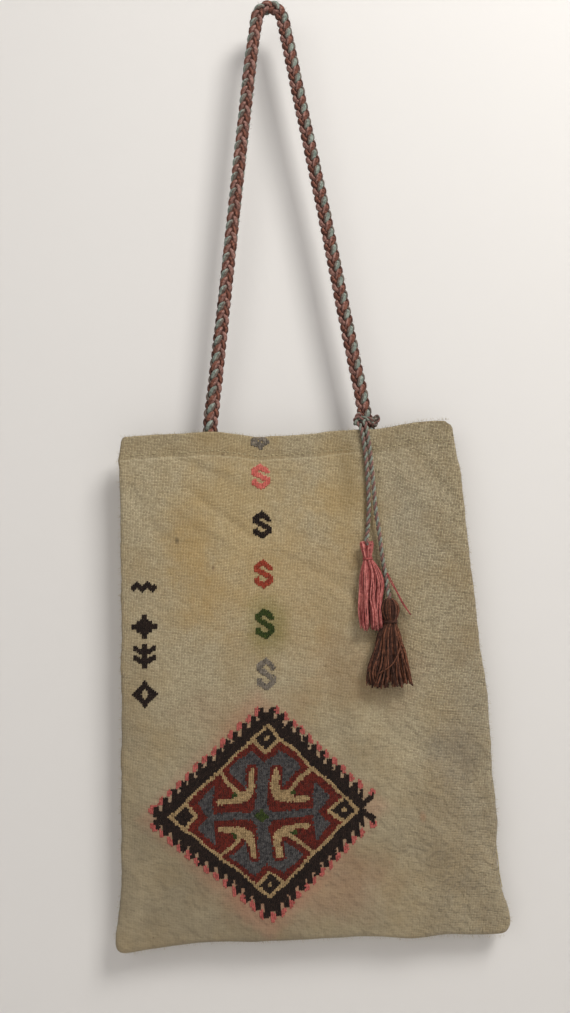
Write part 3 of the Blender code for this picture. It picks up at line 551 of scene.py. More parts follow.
@dataclass(frozen=True)
class ClothFinish:
    """Undyed handspun cloth, stained and soiled with age, with painted shade in the weave's hollows, towards
    the base and the left and beside the tails and tassels, and a painted highlight below the hem.
    """

    light: Colour = dye(218, 202, 166)
    dark: Colour = dye(150, 135, 105)
    aged: Colour = dye(176, 150, 104)
    halo: Colour = dye(186, 116, 96)
    # Painted highlight for the band just below the hem's stitches.
    hem_line_highlight: Colour = dye(226, 212, 176)
    straw: Colour = dye(92, 70, 44)
    hem_shade: Colour = (0.74, 0.71, 0.64)
    dip_shade: Colour = (0.52, 0.48, 0.42)
    crisp_low: float = 0.25
    crisp_rise: float = 0.68
    crisp_right: float = 0.34
    crisp_run: Place = (-0.900, -0.560)
    thread_across: float = 0.00150
    thread_down: float = 0.00138
    wander: float = 0.0015
    pucker_depth: float = 0.0025
    weave_depth: float = 0.0009
    hem_run: float = 1.9548
    bleed: Place = (0.1080, 0.1030)
    stains_and_shade: tuple[StainAndShade, ...] = (
        StainAndShade((-0.060, -0.545), (0.080, 0.120), dye(208, 172, 100), 0.52),
        StainAndShade((-0.100, -0.575), (0.030, 0.095), dye(188, 148, 74), 0.52),
        StainAndShade((0.046, -0.525), (0.040, 0.080), dye(204, 166, 92), 0.60),
        StainAndShade((0.000, -0.610), (0.130, 0.090), dye(204, 166, 102), 0.40),
        StainAndShade((0.052, -0.690), (0.070, 0.050), dye(190, 140, 88), 0.40),
        # Painted shade behind and beside the brown tassel.
        StainAndShade((0.080, -0.640), (0.026, 0.056), dye(112, 86, 52), 0.66),
        StainAndShade((-0.036, -0.644), (0.026, 0.036), dye(116, 112, 16), 0.95, 0.8),
        StainAndShade((-0.038, -0.598), (0.012, 0.008), dye(120, 128, 56), 0.30),
        StainAndShade((-0.1176, -0.5594), (0.0026, 0.0044), dye(24, 4, 0), 1.0, 0.0),
        StainAndShade((-0.0840, -0.5870), (0.0022, 0.0028), dye(84, 40, 28), 0.9, 0.0),
        StainAndShade((-0.0700, -0.4780), (0.0022, 0.0018), dye(60, 24, 16), 0.9, 0.0),
        StainAndShade((0.0980, -0.8250), (0.0040, 0.0060), dye(190, 110, 60), 0.55, 0.3),
        StainAndShade((0.0660, -0.6960), (0.0060, 0.0040), dye(196, 110, 70), 0.50, 0.3),
        StainAndShade((0.130, -0.775), (0.026, 0.034), dye(128, 122, 118), 0.34),
        StainAndShade((-0.060, -0.725), (0.070, 0.030), dye(176, 130, 96), 0.44),
        # Darker towards the base: partly soiling, partly painted shade.
        StainAndShade((-0.010, -0.960), (0.340, 0.220), dye(106, 95, 77), 0.82, 0.6),
        # Painted shade down the left side.
        StainAndShade((-0.190, -0.760), (0.055, 0.260), dye(112, 100, 80), 0.52, 0.6),
        StainAndShade((-0.010, -0.440), (0.240, 0.032), dye(112, 96, 64), 0.42, 0.5),
        StainAndShade((0.160, -0.780), (0.080, 0.200), dye(116, 116, 116), 0.30, 0.6),
        StainAndShade((0.105, -0.560), (0.034, 0.090), dye(176, 176, 164), 0.30, 0.8),
        # Painted shadows to the left of the tassels and of the tails.
        StainAndShade((0.034, -0.700), (0.022, 0.070), dye(100, 84, 54), 0.40, 0.6),
        StainAndShade((0.052, -0.500), (0.018, 0.070), dye(96, 84, 54), 0.46, 0.6),
        # Darker over the lower part and the lower left: partly soiling, partly painted shade.
        StainAndShade((-0.100, -0.880), (0.150, 0.120), dye(96, 84, 68), 0.42, 0.6),
        StainAndShade((-0.075, -0.812), (0.300, 0.205), dye(60, 52, 40), 0.50, 0.6),
        StainAndShade((-0.016, -0.880), (0.100, 0.040), dye(168, 98, 72), 0.40, 0.8),
    )

    def material(self, groups: Groups, medallion: Place) -> Material:
        """The cloth's material: woven threads, slubs, stained and soiled patches, and painted shade and
        highlight.

        Args:
            groups: The shared node groups.
            medallion: X and Z of the medallion's middle, round which the pink has bled.

        Returns:
            The material.
        """
        material, sk, shader = new_material("undyed_cloth", {
            "Roughness": 0.95, "Specular IOR Level": 0.2, "Sheen Weight": 0.12, "Sheen Roughness": 0.6})
        place = sk.read("ShaderNodeTexCoord", "Object")
        thread = sk.read("ShaderNodeUVMap", "UV", uv_map="cloth")
        x, y, z = sk.axes(place)
        height, tone, knot = sk.group(groups.weave, Vector=thread, Across=self.thread_across,
                                      Down=self.thread_down, Wander=self.wander)
        crisp = sk.ramp(z, *self.crisp_run) * self.crisp_rise + self.crisp_low
        crisp += sk.ramp(x, 0.05, 0.15) * self.crisp_right
        mottle = tone * 0.45 + sk.noise(place, 900.0, 2.0, 0.6) * 0.30 + knot * 0.25
        mottle = (mottle - 0.5) * crisp + 0.5
        colour = sk.mix(sk.ramp(mottle, 0.14, 0.86), self.dark, self.light)
        colour = sk.tint(sk.ramp(sk.noise(place, 22.0, 4.0, 0.6), 0.35, 0.75), colour, self.aged, 0.5)
        # Tint patches from the table: real stains and soiling, and painted shade towards the base and the
        # left and beside the tails and tassels.
        for stain_and_shade in self.stains_and_shade:
            colour = sk.tint(stain_and_shade.mask(sk, groups, place), colour, stain_and_shade.colour, 0.55)
        # Pink has bled from the medallion's edge, on the front alone.
        rim = abs(x - medallion[0]) / self.bleed[0] + abs(z - medallion[1]) / self.bleed[1]
        rim += sk.noise(place, 90.0) * 0.14
        pink = (1.0 - sk.ramp(rim, 1.03, 1.24)) * 0.34 * (1.0 - sk.ramp(y, -0.004, 0.002))
        colour = sk.tint(pink, colour, self.halo, 0.6)
        # The hem is darker down to its line of stitches, and a band just below that line, on the left, is a
        # painted highlight.
        below = self.hem_run - sk.axes(thread)[1] + sk.noise(place, 60.0) * 0.0022
        hem = (1.0 - sk.ramp(below, -0.0004, 0.0012)) * 0.36
        colour = sk.tint(hem, colour, self.hem_shade, 1.0, "MULTIPLY")
        fold = sk.ramp(below, 0.0004, 0.0012) - sk.ramp(below, 0.0014, 0.0030)
        colour = sk.mix(fold * (1.0 - sk.ramp(x, 0.03, 0.08)) * 0.30, colour, self.hem_line_highlight)
        colour = sk.mix(sk.ramp(sk.noise(place, 330.0, 1.0), 0.76, 0.80) * 0.55, colour, self.straw)
        # Painted shade in the weave's hollows, stronger where the weave is crisp.
        dip = (1.0 - sk.ramp(height, 0.15, 0.75)) * crisp
        sk.feed(shader.inputs["Base Color"], sk.tint(dip, colour, self.dip_shade, 1.0, "MULTIPLY"))
        lumps = sk.noise(place, 190.0, 1.0) * (sk.ramp(x, 0.04, 0.14) * 1.10 + 0.62)
        puckers = sk.noise(sk.lean(place, (84.0, 84.0, 124.0), -24.0), 1.0)
        soft = sk.relief(lumps + puckers, self.pucker_depth)
        sk.feed(shader.inputs["Normal"], sk.relief(height * crisp, self.weave_depth, Normal=soft))
        return material


class Lie(Enum):
    """What a yarn's pattern follows: its place on the bag, or its own length."""

    PLACE = "place"
    LENGTH = "length"


@dataclass(frozen=True)
class YarnFinish:
    """Dyed wool, with its light and dark hairs."""

    name: str
    light: Colour
    dark: Colour
    lie: Lie = Lie.PLACE
    fleck: Colour | None = None
    bump: float = 0.00012
    sheen: float = 0.05
    reach: Place = (0.28, 0.72)

    def material(self, groups: Groups) -> Material:
        """The yarn's material.

        Args:
            groups: The shared node groups.

        Returns:
            The material.
        """
        material, sk, shader = new_material(self.name, {
            "Roughness": 0.92, "Specular IOR Level": 0.2, "Sheen Weight": self.sheen, "Sheen Roughness": 0.5})
        spot = sk.read("ShaderNodeTexCoord", "Object")
        place = sk.read("ShaderNodeUVMap", "UV", uv_map="yarn") if self.lie is Lie.LENGTH else spot
        height, tone = sk.group(groups.fibre, Vector=place)
        cells = sk.read("ShaderNodeTexVoronoi", "Color", {"Vector": spot, "Scale": 560.0})
        tone = tone * 0.62 + sk.vector("DOT_PRODUCT", cells, (0.4, 0.3, 0.3)) * 0.38
        colour = sk.mix(sk.ramp(tone, *self.reach), self.dark, self.light)
        if self.fleck:
            colour = sk.mix(sk.ramp(sk.noise(spot, 300.0), 0.60, 0.72) * 0.6, colour, self.fleck)
        sk.feed(shader.inputs["Base Color"], colour)
        sk.feed(shader.inputs["Normal"], sk.relief(height, self.bump))
        return material


class Yarns:
    """Every dyed yarn on the bag."""

    def __init__(self, groups: Groups) -> None:
        """Build the yarns' materials.

        Args:
            groups: The shared node groups.
        """
        along = {"lie": Lie.LENGTH}
        strap = {"lie": Lie.LENGTH, "bump": 0.0004, "reach": (0.34, 0.66)}
        finishes = (
            YarnFinish("dark_brown", dye(44, 32, 26), dye(20, 14, 11), sheen=0.02),
            YarnFinish("cream", dye(170, 144, 104), dye(118, 96, 66), fleck=dye(98, 82, 56)),
            YarnFinish("madder_red", dye(108, 37, 25), dye(50, 17, 12), fleck=dye(76, 42, 34)),
            YarnFinish("blue_grey", dye(86, 83, 81), dye(34, 32, 34), fleck=dye(54, 50, 56)),
            YarnFinish("leaf_green", dye(62, 74, 28), dye(26, 38, 14), fleck=dye(36, 42, 22)),
            YarnFinish("pink", dye(184, 100, 92), dye(132, 62, 56)),
            YarnFinish("rust", dye(166, 72, 50), dye(108, 40, 28)),
            YarnFinish("coral", dye(214, 118, 106), dye(164, 76, 66), fleck=dye(222, 150, 130)),
            YarnFinish("grey_mauve", dye(134, 124, 111), dye(70, 64, 56), fleck=dye(168, 154, 126)),
            YarnFinish("undyed_thread", dye(200, 186, 150), dye(150, 134, 100)),
            YarnFinish("turquoise", dye(156, 164, 153), dye(98, 108, 99), **strap),
            YarnFinish("mauve", dye(166, 126, 114), dye(104, 72, 65), **strap),
            YarnFinish("rust_brown", dye(144, 94, 77), dye(80, 48, 40), **strap),
            YarnFinish("grey_brown", dye(132, 122, 111), dye(82, 71, 64), **strap),
            YarnFinish("deep_brown", dye(114, 75, 63), dye(60, 40, 34), **strap),
            YarnFinish("tail_turquoise", dye(144, 149, 136), dye(98, 103, 93), **along),
            YarnFinish("tail_mauve", dye(144, 108, 99), dye(98, 71, 65), **along),
            YarnFinish("tassel_pink", dye(214, 136, 128), dye(146, 72, 67), **along),
            YarnFinish("tassel_brown", dye(128, 80, 58), dye(58, 34, 23), **along),
            # Darker copies of the tassel yarns, for painted shade: shaded strands, the pink strays and the
            # ties.
            YarnFinish("tassel_pink_shade", dye(178, 92, 88), dye(112, 48, 46), **along),
            YarnFinish("tassel_brown_shade", dye(78, 48, 36), dye(34, 20, 13), **along),
        )
        self.by_name = {finish.name: finish.material(groups) for finish in finishes}

    def pick(self, *names: str) -> list[Material]:
        """The materials of these yarns."""
        return [self.by_name[name] for name in names]


@dataclass(frozen=True)
class Fold:
    """A long dent in the cloth, from one place to another, deeper where depth is larger."""

    start: Place
    end: Place
    width: float
    depth: float

    def press(self, x: float, z: float) -> float:
        """How far the fold pushes the cloth back.

        Args:
            x: Where the place lies across the bag.
            z: Its height.

        Returns:
            The distance, which is negative where the cloth stands forward.
        """
        along = Vector((self.end[0] - self.start[0], self.end[1] - self.start[1]))
        away = Vector((x - self.start[0], z - self.start[1]))
        share = away.dot(along) / along.length_squared
        if share < -0.25 or share > 1.25:
            return 0.0
        side = (away - along * share).length
        ends = smooth((share + 0.25) / 0.4) * smooth((1.25 - share) / 0.4)
        return self.depth * hill(side, self.width) * ends


@dataclass
class BagForm:
    """The sewn cloth's shape: its edges, its depth, its folds and its soft dents."""

    cloth: float = 0.0020
    drop: float = 0.4525
    height: float = 0.4745
    mouth_width: float = 0.3315
    base_width: float = 0.3550
    depth: float = 0.0240
    centre_x: float = -0.0055
    edge: float = 0.0050
    corner: float = 0.0110
    side_taper: float = 0.0550
    base_taper: float = 0.0800
    rim_sag: float = 0.0080
    rim_sag_run: float = 0.0550
    rim_rise: float = 0.0056
    rim_rise_run: float = 0.0600
    left_rim_drop: float = 0.0018
    base_slant: float = 0.0060
    base_corner_drop: float = 0.0030
    base_hills: tuple[Triple, ...] = ((0.0024, -0.100, 0.028), (0.0030, 0.105, 0.024))
    left_hills: tuple[Triple, ...] = ((-0.0016, 0.045, 0.012), (0.0012, 0.42, 0.34), (-0.0055, 0.985, 0.060))
    right_hills: tuple[Triple, ...] = ((0.0036, 0.52, 0.14), (0.0060, 0.975, 0.045), (-0.0034, 0.025, 0.050),
                                       (-0.0026, 0.47, 0.045))
    right_waist: float = 0.0024
    right_step: float = 0.0034
    hem_depth: float = 0.0220
    hem_slit: float = 0.0004
    hem_stitch_drop: float = 0.0195
    fold_x: float = 0.0915
    fold_width: float = 0.0120
    fold_depth: float = 0.0024
    fold_length: float = 0.2600
    right_fall: float = 0.0040
    calm_run: float = 0.0180
    strap_left_x: float = -0.0825
    strap_right_x: float = 0.0735
    folds: tuple[Fold, ...] = (
        Fold((0.076, -0.478), (0.070, -0.600), 0.007, 0.0026),
        Fold((0.058, -0.480), (0.050, -0.560), 0.010, -0.0020),
        Fold((-0.100, -0.515), (-0.050, -0.556), 0.0045, 0.0020),
        Fold((-0.108, -0.530), (-0.062, -0.568), 0.006, -0.0014),
        Fold((0.002, -0.586), (0.060, -0.626), 0.0055, 0.0026),
        Fold((-0.010, -0.575), (0.045, -0.612), 0.006, -0.0017),
        Fold((0.020, -0.606), (0.050, -0.640), 0.006, -0.0014),
        Fold((-0.030, -0.548), (0.018, -0.566), 0.0045, 0.0014),
        Fold((-0.090, -0.600), (-0.020, -0.560), 0.010, -0.0014),
        Fold((0.100, -0.760), (0.165, -0.800), 0.012, 0.0026),
        Fold((0.090, -0.830), (0.170, -0.880), 0.014, -0.0029),
        Fold((-0.150, -0.900), (-0.080, -0.870), 0.012, 0.0022),
        Fold((0.110, -0.480), (0.150, -0.530), 0.007, 0.0026),
        Fold((0.095, -0.500), (0.135, -0.545), 0.007, -0.0020),
        Fold((0.120, -0.560), (0.155, -0.600), 0.006, 0.0017),
        Fold((-0.120, -0.476), (-0.070, -0.500), 0.0055, 0.0019),
        Fold((-0.095, -0.485), (-0.040, -0.505), 0.006, -0.0014),
        Fold((-0.165, -0.500), (-0.130, -0.560), 0.007, 0.0017),
    )

    @property
    def front_y(self) -> float:
        """Y of the flat front's outer surface."""
        return -self.depth / 2

    @property
    def edge_y(self) -> float:
        """Y of the middle of the bag's side edges."""
        return self.front_y + self.edge

    @property
    def hem_radius(self) -> float:
        """Outer radius of the turned hem, at the rim."""
        return self.cloth + self.hem_slit / 2

    @property
    def rim_z(self) -> float:
        """The rim's highest part."""
        return -self.drop

    @property
    def low_rim_z(self) -> float:
        """The rim between the strap's ends."""
        return self.rim_z - self.rim_sag

    def rim(self, x: float) -> float:
        """Height of the rim.

        Args:
            x: Where it is wanted across the bag.

        Returns:
            Its Z.
        """
        dip = smooth((x - self.strap_left_x) / self.rim_sag_run)
        rise = smooth((x - self.strap_right_x) / self.rim_rise_run)
        low = self.left_rim_drop * (1.0 - smooth((x - 0.010) / 0.030))
        wave = ripple(0.0005, x * 70.0, 3.1, 0.0) + ripple(0.0004, x * 260.0, 8.1, 0.0)
        return self.rim_z - low - self.rim_sag * dip + self.rim_rise * rise + wave

    def base(self, x: float) -> float:
        """Height of the folded base.

        Args:
            x: Where it is wanted across the bag.

        Returns:
            Its Z.
        """
        across = (x - self.centre_x) / self.base_width
        right = self.base_slant * smooth((across - 0.10) / 0.20)
        left = self.base_corner_drop * smooth((-across - 0.36) / 0.15)
        wave = ripple(0.0009, x * 45.0, 9.4, 0.0) + hills(x, self.base_hills)
        return self.rim_z - self.height - right - left + wave

    def corner_pull(self, distance: float) -> float:
        """How far an edge draws in at this distance from a corner."""
        left = max(0.0, self.corner - distance)
        return self.corner - math.sqrt(self.corner**2 - left**2)

    def sides(self, v: float) -> Place:
        """Where the side edges are.

        Args:
            v: How far down the bag, from 0 at the rim to 1 at the base.

        Returns:
            X of the left and right edges.
        """
        half = (self.mouth_width + (self.base_width - self.mouth_width) * v) / 2
        top_pull, base_pull = self.corner_pull(v * self.height), self.corner_pull((1.0 - v) * self.height)
        pull = 0.55 * (top_pull + base_pull)
        left_wave = ripple(0.0010, 0.0, 5.5, v * 18.0) + ripple(0.0006, 0.0, 2.5, v * 70.0)
        right_wave = ripple(0.0010, 0.0, 1.7, v * 18.0) + ripple(0.0006, 0.0, 4.7, v * 70.0)
        left = self.centre_x - half + pull - 0.40 * top_pull + left_wave + hills(v, self.left_hills)
        right = self.centre_x + half - pull + right_wave + hills(v, self.right_hills)
        return left, right - self.right_waist * v - self.right_step * smooth((v - 0.79) / 0.05)

    def lean(self, x: float, v: float) -> Place:
        """How far the front's soft fold and its fall to the right push it back.

        Args:
            x: Where the place lies across the bag.
            v: How far down it lies, from 0 at the rim to 1 at the base.

        Returns:
            The fold's push and the fall's.
        """
        begin = self.fold_x - 1.6 * self.fold_width
        start = smooth((x - begin) / (0.6 * self.fold_width))
        fade = 1.0 - smooth(v * self.height / self.fold_length)
        crease = self.fold_depth * hill(x - self.fold_x, self.fold_width) * fade * start
        return crease, self.right_fall * smooth((x - begin) / (self.sides(v)[1] - begin))

    def dents(self, x: float, z: float, front: bool) -> float:
        """Soft unevenness of the cloth.

        Args:
            x: Where the place lies across the bag.
            z: Its height.
            front: Whether it is on the front or the back.

        Returns:
            How far the cloth lies back, or forward where negative.
        """
        layer = 0.0 if front else 7.0
        rough = smooth((x - 0.03) / 0.08) + smooth((z + 0.520) / 0.060)
        uneven = ripple(0.0014, x * 9.0, layer, z * 9.0)
        uneven += ripple(0.00075, x * 26.0 + z * 14.0, layer, z * 20.0 - x * 12.0)
        uneven += ripple(0.00030, x * 80.0 + z * 40.0, layer + 2.0, z * 80.0 - x * 40.0)
        uneven += ripple(0.00034 * rough, x * 90.0 + z * 60.0, layer + 4.0, z * 110.0 - x * 50.0)
        pressed = sum(fold.press(x, z) for fold in self.folds) if front else 0.0
        below = self.rim(x) - self.hem_stitch_drop - z
        hem = 0.0009 * hill(below, 0.0026) - 0.0010 * (1.0 - smooth((below + 0.0010) / 0.0040))
        return uneven + pressed + hem

    def wall(self, x: float, v: float, inset: float, front: bool, lift: float = 0.0) -> Vector:
        """A point of the cloth.

        Args:
            x: Where it lies across the bag.
            v: Where it lies down the bag, from 0 at the rim to 1 at the base.
            inset: How deep it lies under the bag's outer surface.
            front: Whether it is on the front or the back.
            lift: How far it is raised, for the turn at the rim.

        Returns:
            The point.
        """
        left, right = self.sides(v)
        radius = self.edge - inset
        low = self.rim(x) - self.hem_radius
        high = self.base(x) + inset
        z = low + (high - low) * v
        from_side = max(0.0, min(x - left - inset, right - inset - x))
        from_base = max(0.0, z - high)
        share = self.round_edge(from_side, radius) * self.round_edge(from_base, radius)
        crease, fall = self.lean(x, v)
        calm = smooth(from_side / self.calm_run) * smooth(from_base / self.calm_run)
        if front:
            y = (crease - radius) * share
        else:
            fill = smooth(from_side / self.side_taper) * smooth(from_base / self.base_taper)
            y = radius * share + (self.depth - 2 * self.edge - fall) * fill
        return Vector((x, self.edge_y + fall + y + self.dents(x, z, front) * calm, z + lift))

    @staticmethod
    def round_edge(distance: float, radius: float) -> float:
        """Share of an edge's full half thickness at this distance in from it."""
        away = max(0.0, 1.0 - distance / radius)
        return math.sqrt(max(0.0, 1.0 - away**2))

    def surface_y(self, x: float, z: float) -> float:
        """Y of the front's outer surface.

        Args:
            x: Where the place lies across the bag.
            z: Its height.

        Returns:
            Its Y.
        """
        low = self.rim(x) - self.hem_radius
        v = min(max((z - low) / (self.base(x) - low), 0.0), 1.0)
        return self.wall(x, v, 0.0, True).y


@dataclass
class ClothBody:
    """The bag's one cloth, with its hem turned in and its base folded."""

    form: BagForm
    across: int = 118
    down: int = 156
    flap_rows: int = 7
    edge_turns: tuple[float, ...] = (0.0, 22.5, 45.0, 67.5, 90.0)
    hem_turns: tuple[float, ...] = (0.0, 36.0, 72.0, 108.0, 144.0)

    def stations(self, v: float, inset: float) -> list[float]:
        """Where a row's points lie, close together at the edges.

        Args:
            v: How far down the bag the row is.
            inset: How deep it lies under the outer surface.

        Returns:
            X of each point, from one side edge to the other.
        """
        radius = self.form.edge - inset
        left, right = self.form.sides(v)
        left, right = left + inset, right - inset
        turn = [radius * (1.0 - math.cos(math.radians(angle))) for angle in self.edge_turns]
        span = right - left - 2 * radius
        middle = [left + radius + span * step / self.across for step in range(1, self.across)]
        return [left + step for step in turn] + middle + [right - step for step in reversed(turn)]

    def rows(self) -> list[Triple]:
        """The rows of points, from the hem's raw edge over the rim and down to the base.

        Returns:
            Each row's v, inset and lift.
        """
        form = self.form
        middle = form.cloth / 2
        turn = form.hem_radius - middle
        hem_v = (form.hem_depth - form.hem_radius) / form.height
        flap = self.flap_rows
        rows = [(hem_v * (1.0 - step / flap), middle + 2 * turn, 0.0) for step in range(flap)]
        for angle in self.hem_turns:
            bend = math.radians(angle)
            rows.append((0.0, middle + turn * (1.0 + math.cos(bend)), turn * math.sin(bend)))
        radius = form.edge - middle
        low = 1.0 - radius / form.height
        rows += [(low * step / self.down, middle, 0.0) for step in range(self.down + 1)]
        for angle in self.edge_turns[1:]:
            rows.append((1.0 - radius * (1.0 - math.sin(math.radians(angle))) / form.height, middle, 0.0))
        return rows

    def build(self, material: Material) -> Piece:
        """Make the cloth: one sheet wrapped round, closed at the side and base, and given its thickness.

        Args:
            material: The cloth's material.

        Returns:
            The piece.
        """
        rows = self.rows()
        rings = []
        for v, inset, lift in rows:
            xs = self.stations(v, inset)
            front = [self.form.wall(x, v, inset, True, lift) for x in xs]
            back = [self.form.wall(x, v, inset, False, lift) for x in xs[1:-1]]
            rings.append(front + back[::-1])
        around = len(rings[0])
        fronts = len(self.stations(0.5, 0.0))
        sheet = bmesh.new()
        bmesh.ops.create_grid(sheet, x_segments=around, y_segments=len(rows) - 1, size=0.5)
        uv = sheet.loops.layers.uv.new("cloth")
        run = [0.0]
        for upper, lower in zip(rings, rings[1:]):
            run.append(run[-1] + (lower[fronts // 2] - upper[fronts // 2]).length)
        spots = {}
        for vert in sheet.verts:
            spots[vert] = (round((vert.co.x + 0.5) * around), round((vert.co.y + 0.5) * (len(rows) - 1)))
        # The pattern runs on round the side edge, so the back counts from twice the right edge.
        far = 2.0 * self.form.sides(0.5)[1]
        for face in sheet.faces:
            face.smooth = True
            for loop in face.loops:
                column, row = spots[loop.vert]
                x = rings[row][column % around].x
                loop[uv].uv = (1.0 + x if column < fronts else 1.0 + far - x, 2.0 - run[row])
        for vert, (column, row) in spots.items():
            vert.co = rings[row][column % around]
        bmesh.ops.remove_doubles(sheet, verts=sheet.verts, dist=0.00001)
        bmesh.ops.recalc_face_normals(sheet, faces=sheet.faces)
        piece = make_piece("bag_cloth_sewn", sheet, [material])
        thicken = piece.modifiers.new("thickness", "SOLIDIFY")
        thicken.thickness = self.form.cloth
        thicken.offset = 0.0
        return declare(piece, "undyed_cloth", "bag_cloth")


@dataclass
class Grain:
    """Maths of the motifs: threads of the cloth turned into places on the bag."""

    thread_x: float = 0.001635
    thread_z: float = 0.001471
    tilt: float = math.radians(1.5)
    rim_z: float = -0.4525

    def column_x(self, x: float, z: float) -> float:
        """X at height z of a thread that starts at x at the rim."""
        return x + (z - self.rim_z) * math.tan(self.tilt) * 0.9

    def turned(self, across: np.ndarray, up: np.ndarray) -> tuple[np.ndarray, np.ndarray]:
        """Turn distances along the threads into distances across and up the bag."""
        cos, sin = math.cos(self.tilt), math.sin(self.tilt)
        return across * cos + up * sin, up * cos - across * sin


def inside(outline: Outline, across: np.ndarray, up: np.ndarray) -> np.ndarray:
    """Find the places inside a closed outline, by the even-odd rule.

    Args:
        outline: Its corners.
        across: How far right each place lies.
        up: How high each lies.

    Returns:
        Whether each is inside.
    """
    found = np.zeros(across.shape, dtype=bool)
    for (x1, z1), (x2, z2) in zip(outline, [*outline[1:], outline[0]]):
        if z1 != z2:
            crosses = (z1 > up) != (z2 > up)
            found ^= crosses & (across < (x2 - x1) * (up - z1) / (z2 - z1) + x1)
    return found


def four_quarters(quarter: Outline, top: float, right: float) -> list[Place]:
    """Close an outline from its upper right quarter: top and right are where it meets the axes."""
    half = [(0.0, top), *quarter, (right, 0.0), *[(x, -z) for x, z in reversed(quarter)], (0.0, -top)]
    return half + [(-x, z) for x, z in reversed(half[1:-1])]


def diamond(size: float, middle: Place = (0.0, 0.0)) -> list[Place]:
    """A diamond's outline."""
    return [(middle[0] + x * size, middle[1] + z * size) for x, z in ((0, 1), (1, 0), (0, -1), (-1, 0))]


def scaled(outline: Outline, across: float, up: float) -> list[Place]:
    """An outline, stretched across and up."""
    return [(x * across, z * up) for x, z in outline]


def ribbon(spine: Outline, width: float) -> list[Place]:
    """Outline a stroke of even width.

    Args:
        spine: The open line along its middle.
        width: How wide it is.

    Returns:
        The closed outline.
    """
    points = [Vector(point) for point in spine]
    sides: tuple[list, list] = ([], [])
    for index, point in enumerate(points):
        before = (point - points[max(index - 1, 0)]).normalized()
        after = (points[min(index + 1, len(points) - 1)] - point).normalized()
        along = (before + after).normalized()
        normal = Vector((-along.y, along.x))
        step = before if before.length > 0.5 else after
        reach = max(0.5, normal.dot(Vector((-step.y, step.x))))
        for side, way in zip(sides, (1.0, -1.0)):
            side.append(tuple(point + way * normal * (width / 2 / reach)))
    return sides[0] + sides[1][::-1]


@dataclass
class Stitcher:
    """Works small slanted stitches into the front of the cloth."""

    form: BagForm
    yarns: Yarns
    grain: Grain = field(default_factory=Grain)
    size: Triple = (0.00205, 0.00150, 0.00260)
    uneven: float = 0.00012
    sink: float = 0.00010
    seed: int = 7
    reach: tuple[int, int] = (12, 14)
    record_slots: dict[str, str] = field(default_factory=lambda: {
        "coral": "pink_yarn", "madder_red": "red_yarn", "leaf_green": "green_yarn"})

    def work(self, node: str, xs: np.ndarray, zs: np.ndarray, slants: np.ndarray, yarn: str) -> None:
        """Work one colour of a motif.

        Args:
            node: The node that the stitches stand for.
            xs: X of each stitch.
            zs: Z of each stitch.
            slants: How far each leans, in degrees.
            yarn: The yarn's name.
        """
        name = f"{node}_worked"
        chance = random.Random(f"{self.seed}{name}")
        template = bmesh.new()
        bmesh.ops.create_uvsphere(template, u_segments=6, v_segments=4, radius=0.5)
        for face in template.faces:
            face.smooth = True
        stitch = bpy.data.meshes.new("stitch")
        template.to_mesh(stitch)
        template.free()
        shape = np.empty(len(stitch.vertices) * 3)
        stitch.vertices.foreach_get("co", shape)
        shape = shape.reshape(-1, 3)
        weld = Weld(name)
        for x, z, slant in zip(xs, zs, slants):
            size = [length * chance.uniform(0.9, 1.12) for length in self.size]
            turn = np.array(Matrix.Rotation(math.radians(slant + chance.uniform(-7, 7)), 3, "Y"))
            y = self.form.surface_y(x, z) - self.sink
            place = (x + chance.uniform(-1, 1) * self.uneven, y, z + chance.uniform(-1, 1) * self.uneven)
            stitch.vertices.foreach_set("co", ((shape * size) @ turn.T + place).ravel())
            weld.whole.from_mesh(stitch)
        bpy.data.meshes.remove(stitch)
        weld.finish(self.record_slots.get(yarn, f"{yarn}_yarn"), self.yarns.pick(yarn), node)

    def fill(self, node: str, outline: Outline, holes: Sequence[Outline], middle: Place, yarn: str,
             slant: float = 12.0) -> None:
        """Fill an outline with stitches on the cloth's threads.

        Args:
            node: The node that the stitches stand for.
            outline: The outline, in metres about its middle.
            holes: Outlines inside it that stay bare.
            middle: X and Z of the middle.
            yarn: The yarn's name.
            slant: How far every second row's stitches lean, in degrees.
        """
        grain = self.grain
        columns, rows = (np.arange(-count, count + 1) for count in self.reach)
        across, up = (axis.ravel() for axis in np.meshgrid(columns * grain.thread_x, rows * grain.thread_z))
        keep = inside(outline, across, up)
        for hole in holes:
            keep &= ~inside(hole, across, up)
        across, up = across[keep], up[keep]
        lean = np.where(np.round(up / grain.thread_z) % 2 == 0, slant, slant * 0.4)
        x, z = grain.turned(across, up)
        self.work(node, x + middle[0], z + middle[1], lean, yarn)


